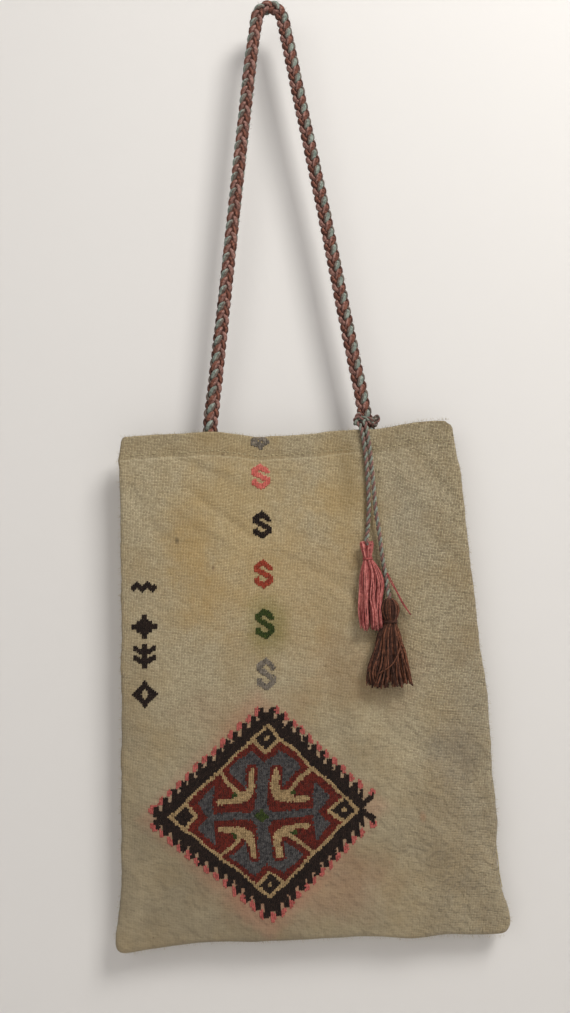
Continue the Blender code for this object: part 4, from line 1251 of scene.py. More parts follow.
@dataclass
class Hooks:
    """The column of S hooks and the small marks on the left."""

    column_x: float = -0.0330
    first_drop: float = 0.0494
    pitch: float = 0.0469
    width: float = 0.0180
    height: float = 0.0246
    growth: float = 0.00125
    stroke: float = 0.0042
    worked_stroke: float = 0.0047
    slant: float = 16.0
    spine: Outline = ((0.88, 0.34), (0.84, 0.54), (-0.06, 0.98), (-0.94, 0.60), (-0.90, 0.38),
                      (0.90, -0.30), (0.96, -0.54), (0.07, -0.95), (-0.88, -0.62), (-0.98, -0.28))
    rim_depth: float = 0.0103
    rim_hook: Outline = ((-1.08, -0.42), (-0.85, -0.08), (-0.2, 0.0), (0.3, 0.0), (0.7, -0.12), (1.1, -0.48),
                         (0.8, -0.78), (0.42, -0.82), (0.1, -1.34), (-0.22, -0.98), (-0.6, -0.86),
                         (-0.95, -0.78))
    rim_eyes: tuple[Triple, ...] = ((-0.0020, -0.0036, 0.0017), (0.0022, -0.0052, 0.0015))
    colours: tuple[str, ...] = ("coral", "dark_brown", "rust", "leaf_green", "grey_mauve")
    marks_x: float = -0.1472
    mark_width: float = 0.0250
    mark_heights: tuple[float, ...] = (0.0088, 0.0225, 0.0215, 0.0240)
    mark_drops: tuple[float, ...] = (0.1490, 0.1865, 0.2140, 0.2490)
    mark_stroke: float = 0.0043
    water: Outline = ((-0.9, -1.0), (-0.5, 1.0), (-0.1, -1.0), (0.3, 1.0), (0.7, -1.0), (0.95, 0.2))
    branch: Outline = ((0.19, 1.0), (0.19, 0.55), (0.86, 0.95), (0.86, 0.55), (0.19, 0.1),
                       (0.19, -0.2), (0.86, 0.15), (0.86, -0.25), (0.19, -0.7), (0.19, -1.0))

    def build(self, stitcher: Stitcher) -> None:
        """Work the hooks and the marks.

        Args:
            stitcher: The hand that works them.
        """
        form, grain = stitcher.form, stitcher.grain
        partial = scaled(self.rim_hook, self.width / 2, self.rim_depth)
        eyes = [diamond(size, (x, z)) for x, z, size in self.rim_eyes]
        stitcher.fill("hook_1", partial, eyes, (self.column_x, form.rim(self.column_x) - GAP), "grey_mauve")
        for index, yarn in enumerate(self.colours):
            z = form.rim_z - self.first_drop - index * self.pitch
            tall = self.height + index * self.growth
            spine = scaled(self.spine, (self.width - self.stroke) / 2, (tall - self.stroke) / 2)
            stitcher.fill(f"hook_{index + 2}", ribbon(spine, self.worked_stroke), [],
                          (grain.column_x(self.column_x, z), z), yarn, self.slant)
        for index, ((outline, holes), drop) in enumerate(zip(self.mark_outlines(), self.mark_drops)):
            middle = (grain.column_x(self.marks_x, form.rim_z - drop), form.rim_z - drop)
            stitcher.fill(f"mark_{index + 1}", outline, holes, middle, "dark_brown")

    def mark_outlines(self) -> list[tuple[list[Place], list[list[Place]]]]:
        """Draw the marks: running water, a stepped cross, a branch and an open diamond.

        Returns:
            Each mark's outline and its holes.
        """
        half, stroke = self.mark_width / 2, self.mark_stroke
        low, tall, branch_tall, high = (height / 2 for height in self.mark_heights)
        water = ribbon(scaled(self.water, half, low - stroke / 2), stroke)
        arm = stroke * 0.6
        step = arm * 1.9
        notch = half * 0.62
        quarter = [(arm, tall), (arm, tall * 0.62), (step, tall * 0.62), (step, step), (notch, step),
                   (notch, arm), (half, arm)]
        right = scaled(self.branch, half, branch_tall)
        branch = right + [(-x, z) for x, z in reversed(right)]
        return [(water, []), (four_quarters(quarter, tall, half), []), (branch, []),
                (diamond(high), [diamond(high - stroke * 1.7)])]


@dataclass
class Medallion:
    """The hooked diamond. Its sizes are in threads from its middle, apart from its place and its bend."""

    middle: Place = (-0.0477, -0.8146)
    bend: Place = (0.0043, 0.0024)
    squat: float = 0.975
    lean: float = 0.016
    cream_outer: float = 54.1
    cream_inner: float = 51.6
    centre: Place = (-1.7, -1.6)
    dark_base: float = 62.0
    teeth: int = 13
    tooth_rise: float = 2.2
    notch: float = 0.36
    notch_drop: float = -0.9
    pink_share: float = 0.46
    hand: float = 1.1
    pink_low: float = 2.6
    pink_high: float = 8.0
    prong_start: float = 7.4
    prong_end: float = 0.2
    prong_half: float = 2.1
    corner_centre: float = 45.0
    corner_dark: float = 6.2
    corner_cream: float = 9.2
    corner_dot: float = 1.6
    green: float = 4.6
    green_dot: Triple = (16.2, 12.2, 1.9)
    right_dot: Triple = (61.0, 10.0, 1.9)
    stem_half: float = 0.95
    fork: Outline = (
        (12.9, 14.2), (10.2, 15.2), (8.8, 18.6), (8.6, 26.4), (7.4, 28.4), (5.5, 27.6), (4.8, 23.0),
        (4.7, 17.0), (5.8, 12.0), (8.2, 9.0), (12.0, 7.2), (24.8, 6.6), (26.6, 8.0), (25.8, 10.0),
        (17.4, 10.4), (14.9, 12.4))
    blue_top: float = 31.0
    blue: Outline = (
        (8.0, 38.4), (21.0, 26.8), (10.3, 16.3), (10.3, 28.4), (8.7, 30.0), (5.6, 30.0), (3.4, 27.8),
        (3.4, 6.6), (6.6, 2.3), (28.2, 2.3), (28.2, 18.4), (37.4, 8.2))

    @property
    def pitch(self) -> float:
        """Width of one tooth and the notch beside it."""
        return self.dark_base / self.teeth

    def step(self, side: np.ndarray) -> tuple[np.ndarray, np.ndarray]:
        """Which tooth's width a stitch lies in, and how far along it."""
        number = np.floor(side / self.pitch)
        return number, side / self.pitch - number

    def teeth_mask(self, across: np.ndarray, up: np.ndarray) -> np.ndarray:
        """The dark border: upright teeth, each with a notch beside it, and a fork at the right corner.

        Args:
            across: How far right each stitch lies.
            up: How high each lies.

        Returns:
            Whether each belongs to the border.
        """
        side, height = np.abs(across), np.abs(up)
        number, share = self.step(side)
        rise = np.where(share < self.notch, self.notch_drop, self.tooth_rise)
        teeth = (height < self.dark_base - number * self.pitch + rise) & (number < self.teeth)
        teeth &= across < self.dark_base - 6.0
        beyond = across - self.dark_base
        prong = (beyond > -self.prong_start) & (beyond < self.prong_end)
        prong &= np.abs(height - 0.8 - (beyond + self.prong_start)) < self.prong_half
        gap = (side > self.dark_base - 3.4) & (height < 1.6 + (side - self.dark_base) * 0.5)
        return (teeth | prong) & ~gap

    def fork_outline(self) -> list[Place]:
        """Draw the cream frame's inner side, with the stems of its forks.

        Returns:
            The closed outline.
        """
        top = self.corner_centre - self.corner_cream
        half_step = (self.cream_inner - top) / 2
        side = self.stem_half / math.sqrt(2)
        root = self.cream_inner / 2
        quarter = [(half_step, top + half_step), (root - side, root + side), *self.fork,
                   (root + side, root - side), (top + half_step, half_step)]
        return four_quarters(quarter, top, top)

    def ticks(self, across: np.ndarray, up: np.ndarray) -> np.ndarray:
        """The pink stitches outside the dark teeth, at the left tip and foot, and beside the right fork.

        Args:
            across: How far right each stitch lies.
            up: How high each lies.

        Returns:
            Whether each is one of them.
        """
        side, height = np.abs(across), np.abs(up)
        number, share = self.step(side)
        above = height - (self.dark_base - number * self.pitch)
        middle, half = (self.pink_low + self.pink_high) / 2, (self.pink_high - self.pink_low) / 2
        aside = (share - self.pink_share / 2) * self.pitch + 0.22 * (above - middle)
        ticks = np.hypot(aside / (0.62 * self.pink_share * self.pitch), (above - middle) / half) < 1.0
        ticks &= (number > 0) & (number <= np.where(across < 0, self.teeth, self.teeth - 2))
        tip = (across < 0) & (np.abs(side - self.dark_base + 1.0) < 1.3) & (np.abs(height - 5.5) < 2.2)
        foot = (side < 1.1) & (up < -self.dark_base) & (up > -self.dark_base - 6.5)
        dot_x, dot_z, radius = self.right_dot
        return ticks | foot | tip | (np.hypot(across - dot_x, height - dot_z) < radius)

    def unsteady(self, across: np.ndarray, up: np.ndarray) -> list[np.ndarray]:
        """Shift places a little, as the hand that worked them did.

        Args:
            across: How far right each stitch lies.
            up: How high each lies.

        Returns:
            The same two, shifted.
        """
        chance = np.random.default_rng(4)
        moved = []
        for layer, axis in enumerate((across, up)):
            drift = [ripple(1.0, a * 0.09, b * 0.09, 5.0 * layer) for a, b in zip(across, up)]
            slip = chance.uniform(-1, 1, axis.shape) * self.hand * 0.28
            moved.append(axis + self.hand * np.array(drift) + slip)
        return moved

    def regions(self, across: np.ndarray, up: np.ndarray) -> dict[str, np.ndarray]:
        """Share the stitches out among the nodes.

        Args:
            across: How far right each stitch lies.
            up: How high each lies.

        Returns:
            For each node, whether each stitch belongs to it.
        """
        teeth = self.teeth_mask(across, up)
        frame = inside(diamond(self.cream_outer), across, up)
        calm = np.clip(1.0 - (np.abs(across) + np.abs(up)) / self.cream_inner, 0.0, 1.0)
        inner = (across - self.centre[0] * calm, up - self.centre[1] * calm)
        fork = inside(self.fork_outline(), *inner)
        blue = inside(four_quarters(self.blue, self.blue_top, self.blue_top), *inner)
        green = inside(diamond(self.green), *inner)
        dot_x, dot_z, radius = self.green_dot
        accent = (np.hypot(np.abs(inner[0]) - dot_x, np.abs(inner[1]) - dot_z) < radius) & fork & ~blue
        cream = frame & ~fork
        regions = {}
        for side, corner in zip(("top", "right", "bottom", "left"), diamond(self.corner_centre)):
            dark = inside(diamond(self.corner_dark, corner), across, up)
            if side != "left":
                dark &= ~inside(diamond(self.corner_dot, corner), across, up)
            regions[f"corner_diamond_{side}"] = dark
            cream &= ~dark
        return regions | {
            "medallion_cream_frame": cream,
            "medallion_dark_border": teeth & ~frame,
            "medallion_red_field": fork & ~blue & ~accent,
            "medallion_blue_cross": blue & ~green,
            "medallion_green_centre": green | accent,
            "medallion_pink_edge": self.ticks(across, up) & ~teeth,
        }

    def build(self, stitcher: Stitcher) -> None:
        """Work the medallion, one piece for each node.

        Args:
            stitcher: The hand that works it.
        """
        grain = stitcher.grain
        reach = int(self.dark_base + 10)
        steps = np.arange(-reach, reach + 1) + 0.25
        across, up = (axis.ravel() for axis in np.meshgrid(steps, steps))
        drift = np.abs(up) / self.corner_centre
        right = across * grain.thread_x
        x, z = grain.turned(right + drift * self.bend[0],
                            up * grain.thread_z * self.squat + right * self.lean + drift * self.bend[1])
        x, z = x + self.middle[0], z + self.middle[1]
        slant = np.where(np.round(up) % 2 == 0, 12.0, -8.0)
        yarns = {"medallion_cream_frame": "cream", "medallion_red_field": "madder_red",
                 "medallion_blue_cross": "blue_grey", "medallion_green_centre": "leaf_green",
                 "medallion_pink_edge": "pink"}
        for node, keep in self.regions(*self.unsteady(across, up)).items():
            stitcher.work(node, x[keep], z[keep], slant[keep], yarns.get(node, "dark_brown"))


@dataclass
class Strap:
    """The round braid of four strands, with its ends inside the mouth.

    Its even and odd columns each show two of the strands by turns, a strand being the slots of three yarns.
    """

    form: BagForm
    radius: float = 0.0058
    hang_radius: float = 0.0080
    tuck: float = 0.0380
    knot_rise: float = 0.0100
    foot_inward: float = 0.0010
    leg_shares: tuple[float, ...] = (0.10, 0.25, 0.50, 0.75, 0.92)
    left_bow: tuple[float, ...] = (0.0010, 0.0010, 0.0006, 0.0, 0.0)
    right_bow: tuple[float, ...] = (0.0004, 0.0004, 0.0012, 0.0006, 0.0006)
    pitch: float = 0.00875
    ring: float = 0.00540
    flat: Place = (0.94, 1.12)
    reach: float = 0.66
    dive: float = 0.50
    slant: float = 0.40
    turned: Place = (0.78, 0.42)
    curl: float = 0.30
    ply: float = 0.00158
    ply_step: float = 0.00150
    ply_crown: float = 0.00030
    core: float = 0.0040
    spacing: float = 0.0010
    colours: tuple[str, ...] = ("rust_brown", "mauve", "grey_brown", "deep_brown", "turquoise")
    strands: tuple[tuple[tuple[int, int, int], ...], ...] = (((3, 3, 0), (2, 1, 1)), ((4, 4, 2), (0, 0, 1)))
    seed: int = 3

    @property
    def inside_y(self) -> float:
        """Y of the strap's ends, against the turned-in hem."""
        form = self.form
        return form.front_y + 2 * form.cloth + form.hem_slit + 2 * GAP + self.radius

    def leg(self, side: int) -> Points:
        """Route of one leg, from beside the hanging point to its end inside the mouth.

        Args:
            side: -1 for the left leg, 1 for the right.

        Returns:
            The route's points. The fourth from the end is where the leg's foot is tied.
        """
        form = self.form
        foot_x, rim, bow = form.strap_left_x, form.rim_z, self.left_bow
        if side > 0:
            foot_x, rim, bow = form.strap_right_x, form.low_rim_z, self.right_bow
        head = Vector((side * (self.hang_radius + self.radius), 0.0, -self.hang_radius))
        foot = Vector((foot_x - side * self.foot_inward, self.inside_y, rim + self.knot_rise))
        route = []
        for share, aside in zip(self.leg_shares, bow):
            point = head.lerp(foot, share)
            point.x += side * aside
            point.y = self.inside_y * smooth(share)
            route.append(point)
        route.append(foot)
        for share in (0.1, 0.55, 1.0):
            route.append(Vector((foot_x, self.inside_y, foot.z - self.knot_rise - self.tuck * share)))
        return route

    def route(self) -> Points:
        """The whole middle line: the left leg up, over the hanging point and down the right leg.

        Returns:
            Its points.
        """
        centre = self.hang_radius + self.radius
        over = []
        for angle in (180, 150, 120, 90, 60, 30, 0):
            turn = math.radians(angle)
            over.append(Vector((centre * math.cos(turn), 0.0, -self.hang_radius + centre * math.sin(turn))))
        left = smooth_route([over[0], *self.leg(-1)], 3)
        right = smooth_route([over[-1], *self.leg(1)], 3)
        return left[::-1] + over[1:-1] + right

    def bump(self, weld: Weld, middle: Points, frames: Frames, centre: float, column: int,
             plies: Sequence[int], chance: random.Random) -> None:
        """Lay one strand's yarns over its neighbour, from where they come up to where they dive.

        Args:
            weld: The piece that the yarns join.
            middle: The strap's middle line.
            frames: Two directions square to it at each point.
            centre: Where along the line the bump is highest, in points.
            column: Which of the braid's four columns it is in.
            plies: The slot of each yarn, the leading one last.
            chance: The unevenness of the hand.
        """
        way = 1 if column % 2 else -1
        share = centre / len(middle)
        lie = self.turned[0] * (1.0 - smooth(share / 0.30)) + self.turned[1] * smooth((share - 0.42) / 0.10)
        azimuth = math.pi / 4 + column * math.pi / 2 + lie + chance.uniform(-0.06, 0.06)
        swell = chance.uniform(0.97, 1.04)
        half = self.reach * self.pitch / (route_length(middle) / (len(middle) - 1))
        lines: list[Points] = [[] for _ in plies]
        shares = [step / 4 for step in range(-4, 5)]
        for share in shares:
            walk = min(max(centre + share * half, 0.0), len(middle) - 1.001)
            index, rest = int(walk), walk % 1.0
            point = middle[index].lerp(middle[index + 1], rest)
            out, left = (first.lerp(second, rest) for first, second in zip(frames[index], frames[index + 1]))
            angle = azimuth + way * (self.slant * share + self.curl * share**3)
            rise = self.ring * swell * (1.0 - self.dive * abs(share) ** 2.4)
            for number, line in enumerate(lines):
                away = rise - abs(number - 1) * self.ply_crown
                turn = angle + (number - 1) * way * self.ply_step / self.ring * (1.0 - 0.35 * abs(share))
                across, forward = self.flat[0] * math.cos(turn), self.flat[1] * math.sin(turn)
                line.append(point + away * (across * out + forward * left))
        radii = [self.ply * (1.0 - 0.35 * abs(share) ** 3) for share in shares]
        for line, slot in zip(lines, plies):
            weld.sweep(line, radii, 6, slot)

    def build(self, yarns: Yarns) -> None:
        """Braid the strap: four strands, each of three yarns side by side.

        Args:
            yarns: The dyed yarns.
        """
        middle = even_route(self.route(), self.spacing)
        run = route_length(middle) / (len(middle) - 1)
        frames = frames_along(middle, FRONT)
        chance = random.Random(self.seed)
        weld = Weld("strap_braided")
        weld.sweep(middle, self.core, 8, self.colours.index("deep_brown"))
        for number in range(int(run * (len(middle) - 1) / self.pitch)):
            for column in range(4):
                centre = (number + 0.5 + 0.5 * (column % 2)) * self.pitch / run
                plies = self.strands[column % 2][(number + column // 2 + column % 2) % 2]
                self.bump(weld, middle, frames, centre, column, plies, chance)
        weld.finish("strap_yarn", yarns.pick(*self.colours), "strap_braid")


@dataclass
class TwistedCord:
    """Two plies, turquoise and mauve, laid round each other."""

    radius: float = 0.00225
    lay: float = 0.0099
    spacing: float = 0.0008

    def add(self, weld: Weld, route: Sequence[Vector], slots: tuple[int, int] = (0, 1)) -> Points:
        """Lay the two plies along a route.

        Args:
            weld: The piece that they join.
            route: The route.
            slots: The material slot of each.

        Returns:
            The cord's middle line.
        """
        middle = even_route(route, self.spacing)
        step = route_length(middle) / (len(middle) - 1)
        frames = frames_along(middle, Vector((0.2, -1.0, 0.1)).normalized())
        for number, slot in enumerate(slots):
            ply = []
            for index, (point, (out, left)) in enumerate(zip(middle, frames)):
                angle = math.tau * index * step / self.lay + number * math.pi
                ply.append(point + self.radius * 0.5 * (math.cos(angle) * out + math.sin(angle) * left))
            weld.sweep(ply, self.radius * 0.52, 8, slot)
        return middle


@dataclass
class Tassel:
    """A bundle of yarns folded over the end of a tail and tied round its neck.

    Its head is the half width, half depth and half height. Each row of its skirt is a drop from its top, the
    half width and half depth there, and how far it hangs to the right.
    """

    colour: str
    top: Vector
    head: Vector
    neck: float
    skirt: tuple[Row, ...]
    strands: int
    yarn: float
    seed: int
    stray: tuple[tuple[Triple, ...], ...]
    locks: int = 11
    sway: float = 0.0030
    clump: float = 0.35
    split: float = 0.0
    open_head: bool = False
    tie: float = 0.0014
    sides: int = 5
    golden_turn: float = 2.399963

    def profile(self) -> list[Row]:
        """The bundle's outline from its top down.

        Returns:
            Rows like those of the skirt.
        """
        head = self.head
        if self.open_head:
            flare = ((0.0, 1.0), (0.25, 0.92), (0.5, 0.66), (0.75, 0.30))
            rows = [(2 * head.z * share, self.neck + (head.x - self.neck) * wide,
                     self.neck + (head.y - self.neck) * wide, 0.0) for share, wide in flare]
        else:
            turns = [math.radians(angle) for angle in (12, 40, 70, 95, 125)]
            rows = [(head.z * (1.0 - math.cos(turn)), head.x * math.sin(turn), head.y * math.sin(turn), 0.0)
                    for turn in turns]
        rows += [(2 * head.z, self.neck, self.neck, 0.0), (2 * head.z + self.tie, self.neck, self.neck, 0.0)]
        return rows + list(self.skirt)

    def strand(self, number: int, rows: Sequence[Row], locks: Sequence[Triple],
               chance: random.Random) -> Points:
        """Route of one yarn of the bundle.

        Args:
            number: Which yarn it is, counted outwards.
            rows: The bundle's outline.
            locks: How each lock of yarns leans and bends, and where its wave starts.
            chance: The unevenness of the hand.

        Returns:
            The route's points.
        """
        around = number * self.golden_turn + chance.uniform(-0.25, 0.25)
        place = around / math.tau * self.locks
        lean, bend, wave = locks[int(place) % self.locks]
        deep = 0.20 + 0.80 * math.sqrt((number + 0.5) / self.strands) * chance.uniform(0.86, 1.06)
        cut = 1.0 - chance.uniform(0.0, 0.05) - 0.05 * abs(lean)
        phase = chance.uniform(0.0, 50.0)
        middle = (math.floor(place) + 0.5) * math.tau / self.locks
        front = math.sin(around) < -0.2 and abs(math.cos(around)) < 0.5
        start = chance.uniform(0.0, 0.0052) + 0.0042 * front if self.open_head else 0.0
        neck_drop, foot = 2 * self.head.z, rows[-1][0]
        line = []
        for drop, wide, thick, shift in rows:
            loose = smooth((drop - neck_drop) / (foot - neck_drop))
            fall = max(drop * (1.0 + (cut - 1.0) * loose), start if drop < 0.006 else 0.0)
            turn = around + (middle - around) * self.clump * loose + 0.25 * loose * math.sin(phase)
            sway = Vector((ripple(1.0, wave, drop * 30.0, 0.0) + 0.5 * lean,
                           ripple(1.0, wave, drop * 30.0, 9.0) - 0.3 * abs(bend), 0.0))
            wobble = Vector((ripple(1.0, phase, drop * 44.0, 0.0), ripple(1.0, phase, drop * 44.0, 9.0), 0.0))
            offset = (sway * self.sway + wobble * 0.0024) * loose + wobble * 0.0005
            offset.x += self.split * math.copysign(smooth((loose - 0.70) / 0.30), math.cos(turn) + 0.25)
            across, forward = deep * wide * math.cos(turn), deep * thick * math.sin(turn)
            line.append(self.top + Vector((shift + across, forward, -fall)) + offset)
        return line

    def build(self, yarns: Yarns) -> list[Piece]:
        """Hang the strands and tie the neck.

        Args:
            yarns: The dyed yarns.

        Returns:
            The tassel and its binding.
        """
        node = f"tassel_{self.colour}"
        colours = yarns.pick(node, f"{node}_shade")
        chance = random.Random(self.seed)
        weld = Weld(f"{self.colour}_tassel_strands")
        rows = self.profile()
        locks = []
        for _ in range(self.locks):
            locks.append((chance.uniform(-1, 1), chance.uniform(-1, 1), chance.uniform(0.0, 50.0)))
        for number in range(self.strands):
            line = self.strand(number, rows, locks, chance)
            # About four strands in ten take the darker yarn, as painted shade among the locks.
            slot = int(chance.random() < 0.42)
            weld.sweep(smooth_route(line, 2), self.yarn * chance.uniform(0.8, 1.2), self.sides, slot)
        for route in self.stray:
            points = smooth_route([Vector(point) for point in route], 4)
            # An open head's strays take the darker yarn, as painted shade.
            weld.sweep(points, self.yarn * 0.9, self.sides, int(self.open_head))
        strands = weld.finish(f"{node}_yarn", colours, node)
        weld = Weld(f"{self.colour}_tassel_tie")
        # The tie takes the darker yarn, as painted shade under the head.
        weld.sweep(self.binding(), self.yarn * 1.05, 6, 0, Vector((0.0, 0.0, 1.0)))
        return [strands, weld.finish(f"{node}_yarn", colours[1:], f"{node}_binding")]

    def binding(self) -> Points:
        """Route of the yarn wound three times round the neck.

        Returns:
            The route's points.
        """
        reach = self.neck + self.yarn * 1.5
        start = self.top.z - 2 * self.head.z - 0.0001
        turns = []
        for step in range(55):
            angle = math.tau * step / 18
            turns.append(Vector((self.top.x + reach * math.cos(angle), self.top.y + reach * math.sin(angle),
                                 start - self.tie * step / 54)))
        return turns


@dataclass
class Tails:
    """The hitch round the strap's right leg, the two tails from it and their tassels.

    A tail's sway gives, at shares of its length, how far to the right of the strap's foot it hangs.
    """

    form: BagForm
    strap: Strap
    yarns: Yarns
    cord: TwistedCord = field(default_factory=TwistedCord)
    knot_ring: float = 0.0093
    knot_yarn: float = 0.0027
    knot_tilt: float = math.radians(8.0)
    spacing: float = 0.0050
    shift: float = 0.0047
    pink_length: float = 0.1140
    brown_length: float = 0.1656
    pink_sway: Outline = ((0.0, -0.0078), (0.27, -0.0051), (0.63, -0.0055), (0.88, -0.0085))
    brown_sway: Outline = ((0.0, -0.0027), (0.18, -0.0005), (0.48, 0.0006), (0.59, 0.0022), (0.76, 0.0038),
                           (0.93, 0.0064))
    pink_end: Place = (0.0630, -0.0186)
    brown_end: Place = (0.0804, -0.0204)

    def route(self, side: int, length: float, sway: Outline, end: Place) -> Points:
        """Route of a tail: out of the knot, over the rim and down to its tassel.

        Args:
            side: -1 for the left tail, 1 for the right.
            length: How far below the rim it ends.
            sway: How it hangs.
            end: X and Y of its end.

        Returns:
            The route's points.
        """
        form, centre = self.form, self.strap.leg(1)[-4]
        offset = side * self.spacing / 2 - self.shift
        out = math.sqrt(self.knot_ring**2 - offset**2)
        ring = Vector((centre.x + offset, centre.y - out, centre.z - offset * math.tan(self.knot_tilt)))
        away = Vector((offset, -out, 0.0)).normalized() * 0.72 + Vector((0.0, 0.0, -0.694))
        start = ring + away * (self.knot_yarn + 3 * GAP)
        flat_y = form.front_y - 2 * GAP - 0.0008 - self.cord.radius
        route = [start, start + away * 0.0022]
        for share, aside in sway:
            route.append(Vector((form.strap_right_x + aside, flat_y, form.low_rim_z - share * length)))
        route.append(Vector((*end, form.low_rim_z - length + 2 * self.cord.radius)))
        route.append(Vector((*end, form.low_rim_z - length)))
        return route

    def build_knot(self) -> None:
        """Tie the hitch: two turns of cord round the strap, with a lump on each side."""
        centre = self.strap.leg(1)[-4]
        weld = Weld("tail_knot_tied")
        turns = []
        for step in range(64):
            angle = math.tau * step / 30 - 0.6
            reach = self.knot_ring - 0.0006 + 0.0012 * math.sin(angle * 0.5)
            rise = 0.0032 - 0.0062 * step / 63 - math.cos(angle) * reach * math.tan(self.knot_tilt)
            turns.append(centre + Vector((reach * math.cos(angle), reach * math.sin(angle), rise)))
        self.cord.add(weld, turns)
        for side, height, slots in ((-1, 0.0020, (0, 1)), (1, -0.0012, (1, 2))):
            knuckle = []
            for step in range(20):
                angle = math.tau * step / 16 + 0.8
                aside = side * (self.knot_ring - 0.0006) + 0.0030 * math.cos(angle)
                rise = height + 0.0044 * math.sin(angle + 0.9)
                knuckle.append(centre + Vector((aside, -0.0052 - 0.0022 * math.sin(angle), rise)))
            self.cord.add(weld, knuckle, slots)
        materials = self.yarns.pick("tail_turquoise", "tail_mauve", "grey_brown")
        weld.finish("strap_yarn", materials, "tail_knot")

    def pink_tassel(self, end: Vector) -> Tassel:
        """Describe the slim pink tassel, with an open head and two stray yarns at its right.

        Args:
            end: Where its tail ends.

        Returns:
            The tassel.
        """
        return Tassel(
            "pink", top=end + Vector((0.0, 0.0, 0.0044)), head=Vector((0.0066, 0.0056, 0.0080)), neck=0.0036,
            skirt=((0.0240, 0.0074, 0.0054, 0.0012), (0.0300, 0.0098, 0.0060, 0.0020),
                   (0.0370, 0.0113, 0.0064, 0.0023), (0.0450, 0.0116, 0.0064, 0.0020),
                   (0.0570, 0.0106, 0.0062, 0.0006), (0.0700, 0.0092, 0.0056, -0.0002),
                   (0.0860, 0.0078, 0.0050, -0.0002)),
            strands=104, yarn=0.00056, seed=11, open_head=True, split=0.0016,
            stray=(((0.0804, -0.0165, -0.6020), (0.0835, -0.0155, -0.6101), (0.0879, -0.0152, -0.6183),
                    (0.0930, -0.0152, -0.6304), (0.1000, -0.0150, -0.6412)),
                   ((0.0808, -0.0160, -0.6010), (0.0850, -0.0150, -0.6101), (0.0893, -0.0150, -0.6200),
                    (0.0938, -0.0148, -0.6300), (0.1004, -0.0148, -0.6420))))

    def brown_tassel(self, end: Vector) -> Tassel:
        """Describe the full brown tassel, with a round head and one stray yarn across its front.

        Args:
            end: Where its tail ends.

        Returns:
            The tassel.
        """
        return Tassel(
            "brown", top=end + Vector((0.0, 0.0, 0.0008)), head=Vector((0.0088, 0.0078, 0.0104)), neck=0.0048,
            skirt=((0.0255, 0.0066, 0.0058, -0.0012), (0.0330, 0.0106, 0.0072, -0.0027),
                   (0.0430, 0.0130, 0.0078, -0.0034), (0.0530, 0.0157, 0.0082, -0.0039),
                   (0.0640, 0.0180, 0.0084, -0.0043), (0.0735, 0.0196, 0.0086, -0.0047),
                   (0.0826, 0.0208, 0.0088, -0.0050)),
            strands=140, yarn=0.00074, seed=23, sway=0.0046, clump=0.85, locks=8,
            stray=(((0.0870, -0.0285, -0.6676), (0.0849, -0.0296, -0.6732), (0.0808, -0.0302, -0.6810),
                    (0.0750, -0.0302, -0.6873), (0.0637, -0.0288, -0.6934)),))

    def build(self) -> None:
        """Tie the knot, lay the tails and hang the tassels."""
        self.build_knot()
        pink_route = self.route(-1, self.pink_length, self.pink_sway, self.pink_end)
        brown_route = self.route(1, self.brown_length, self.brown_sway, self.brown_end)
        for route, tassel in ((pink_route, self.pink_tassel(pink_route[-1])),
                              (brown_route, self.brown_tassel(brown_route[-1]))):
            node = f"tail_cord_{tassel.colour}"
            weld = Weld(f"{node}_twisted")
            middle = self.cord.add(weld, smooth_route(route, 6))
            piece = weld.finish("turquoise_yarn", self.yarns.pick("tail_turquoise", "tail_mauve"), node)
            pieces = tassel.build(self.yarns)
            round(route_length(middle), 4)


@dataclass
class HemStitches:
    """The running stitches that hold the turned-in hem, front and back."""

    form: BagForm
    pitch: float = 0.0052
    length: float = 0.0034
    radius: float = 0.00042
    margin: float = 0.0070
    proud: float = 0.0003
    sunk: float = 0.0011

    def build(self, yarns: Yarns) -> None:
        """Sew both rows.

        Args:
            yarns: The dyed yarns.
        """
        form = self.form
        v = (form.hem_stitch_drop - form.hem_radius) / form.height
        left, right = form.sides(v)
        for label, way in (("front", 1.0), ("back", -1.0)):
            weld = Weld(f"hem_stitches_{label}")
            chance = random.Random(label)
            for number in range(int((right - left - 2 * self.margin) / self.pitch)):
                x = left + self.margin + self.pitch * (number + chance.uniform(0.3, 0.6))
                line = []
                for share in (-0.5, -0.3, 0.0, 0.3, 0.5):
                    point = form.wall(x + share * self.length, v, 0.0, label == "front")
                    point.y += way * (self.sunk * (2.0 * share) ** 2 - self.proud)
                    point.z += share * chance.uniform(-0.0010, 0.0010)
                    line.append(point)
                weld.sweep(smooth_route(line, 2), self.radius, 6)
            weld.finish("sewing_thread", yarns.pick("undyed_thread"), f"hem_thread_{label}")


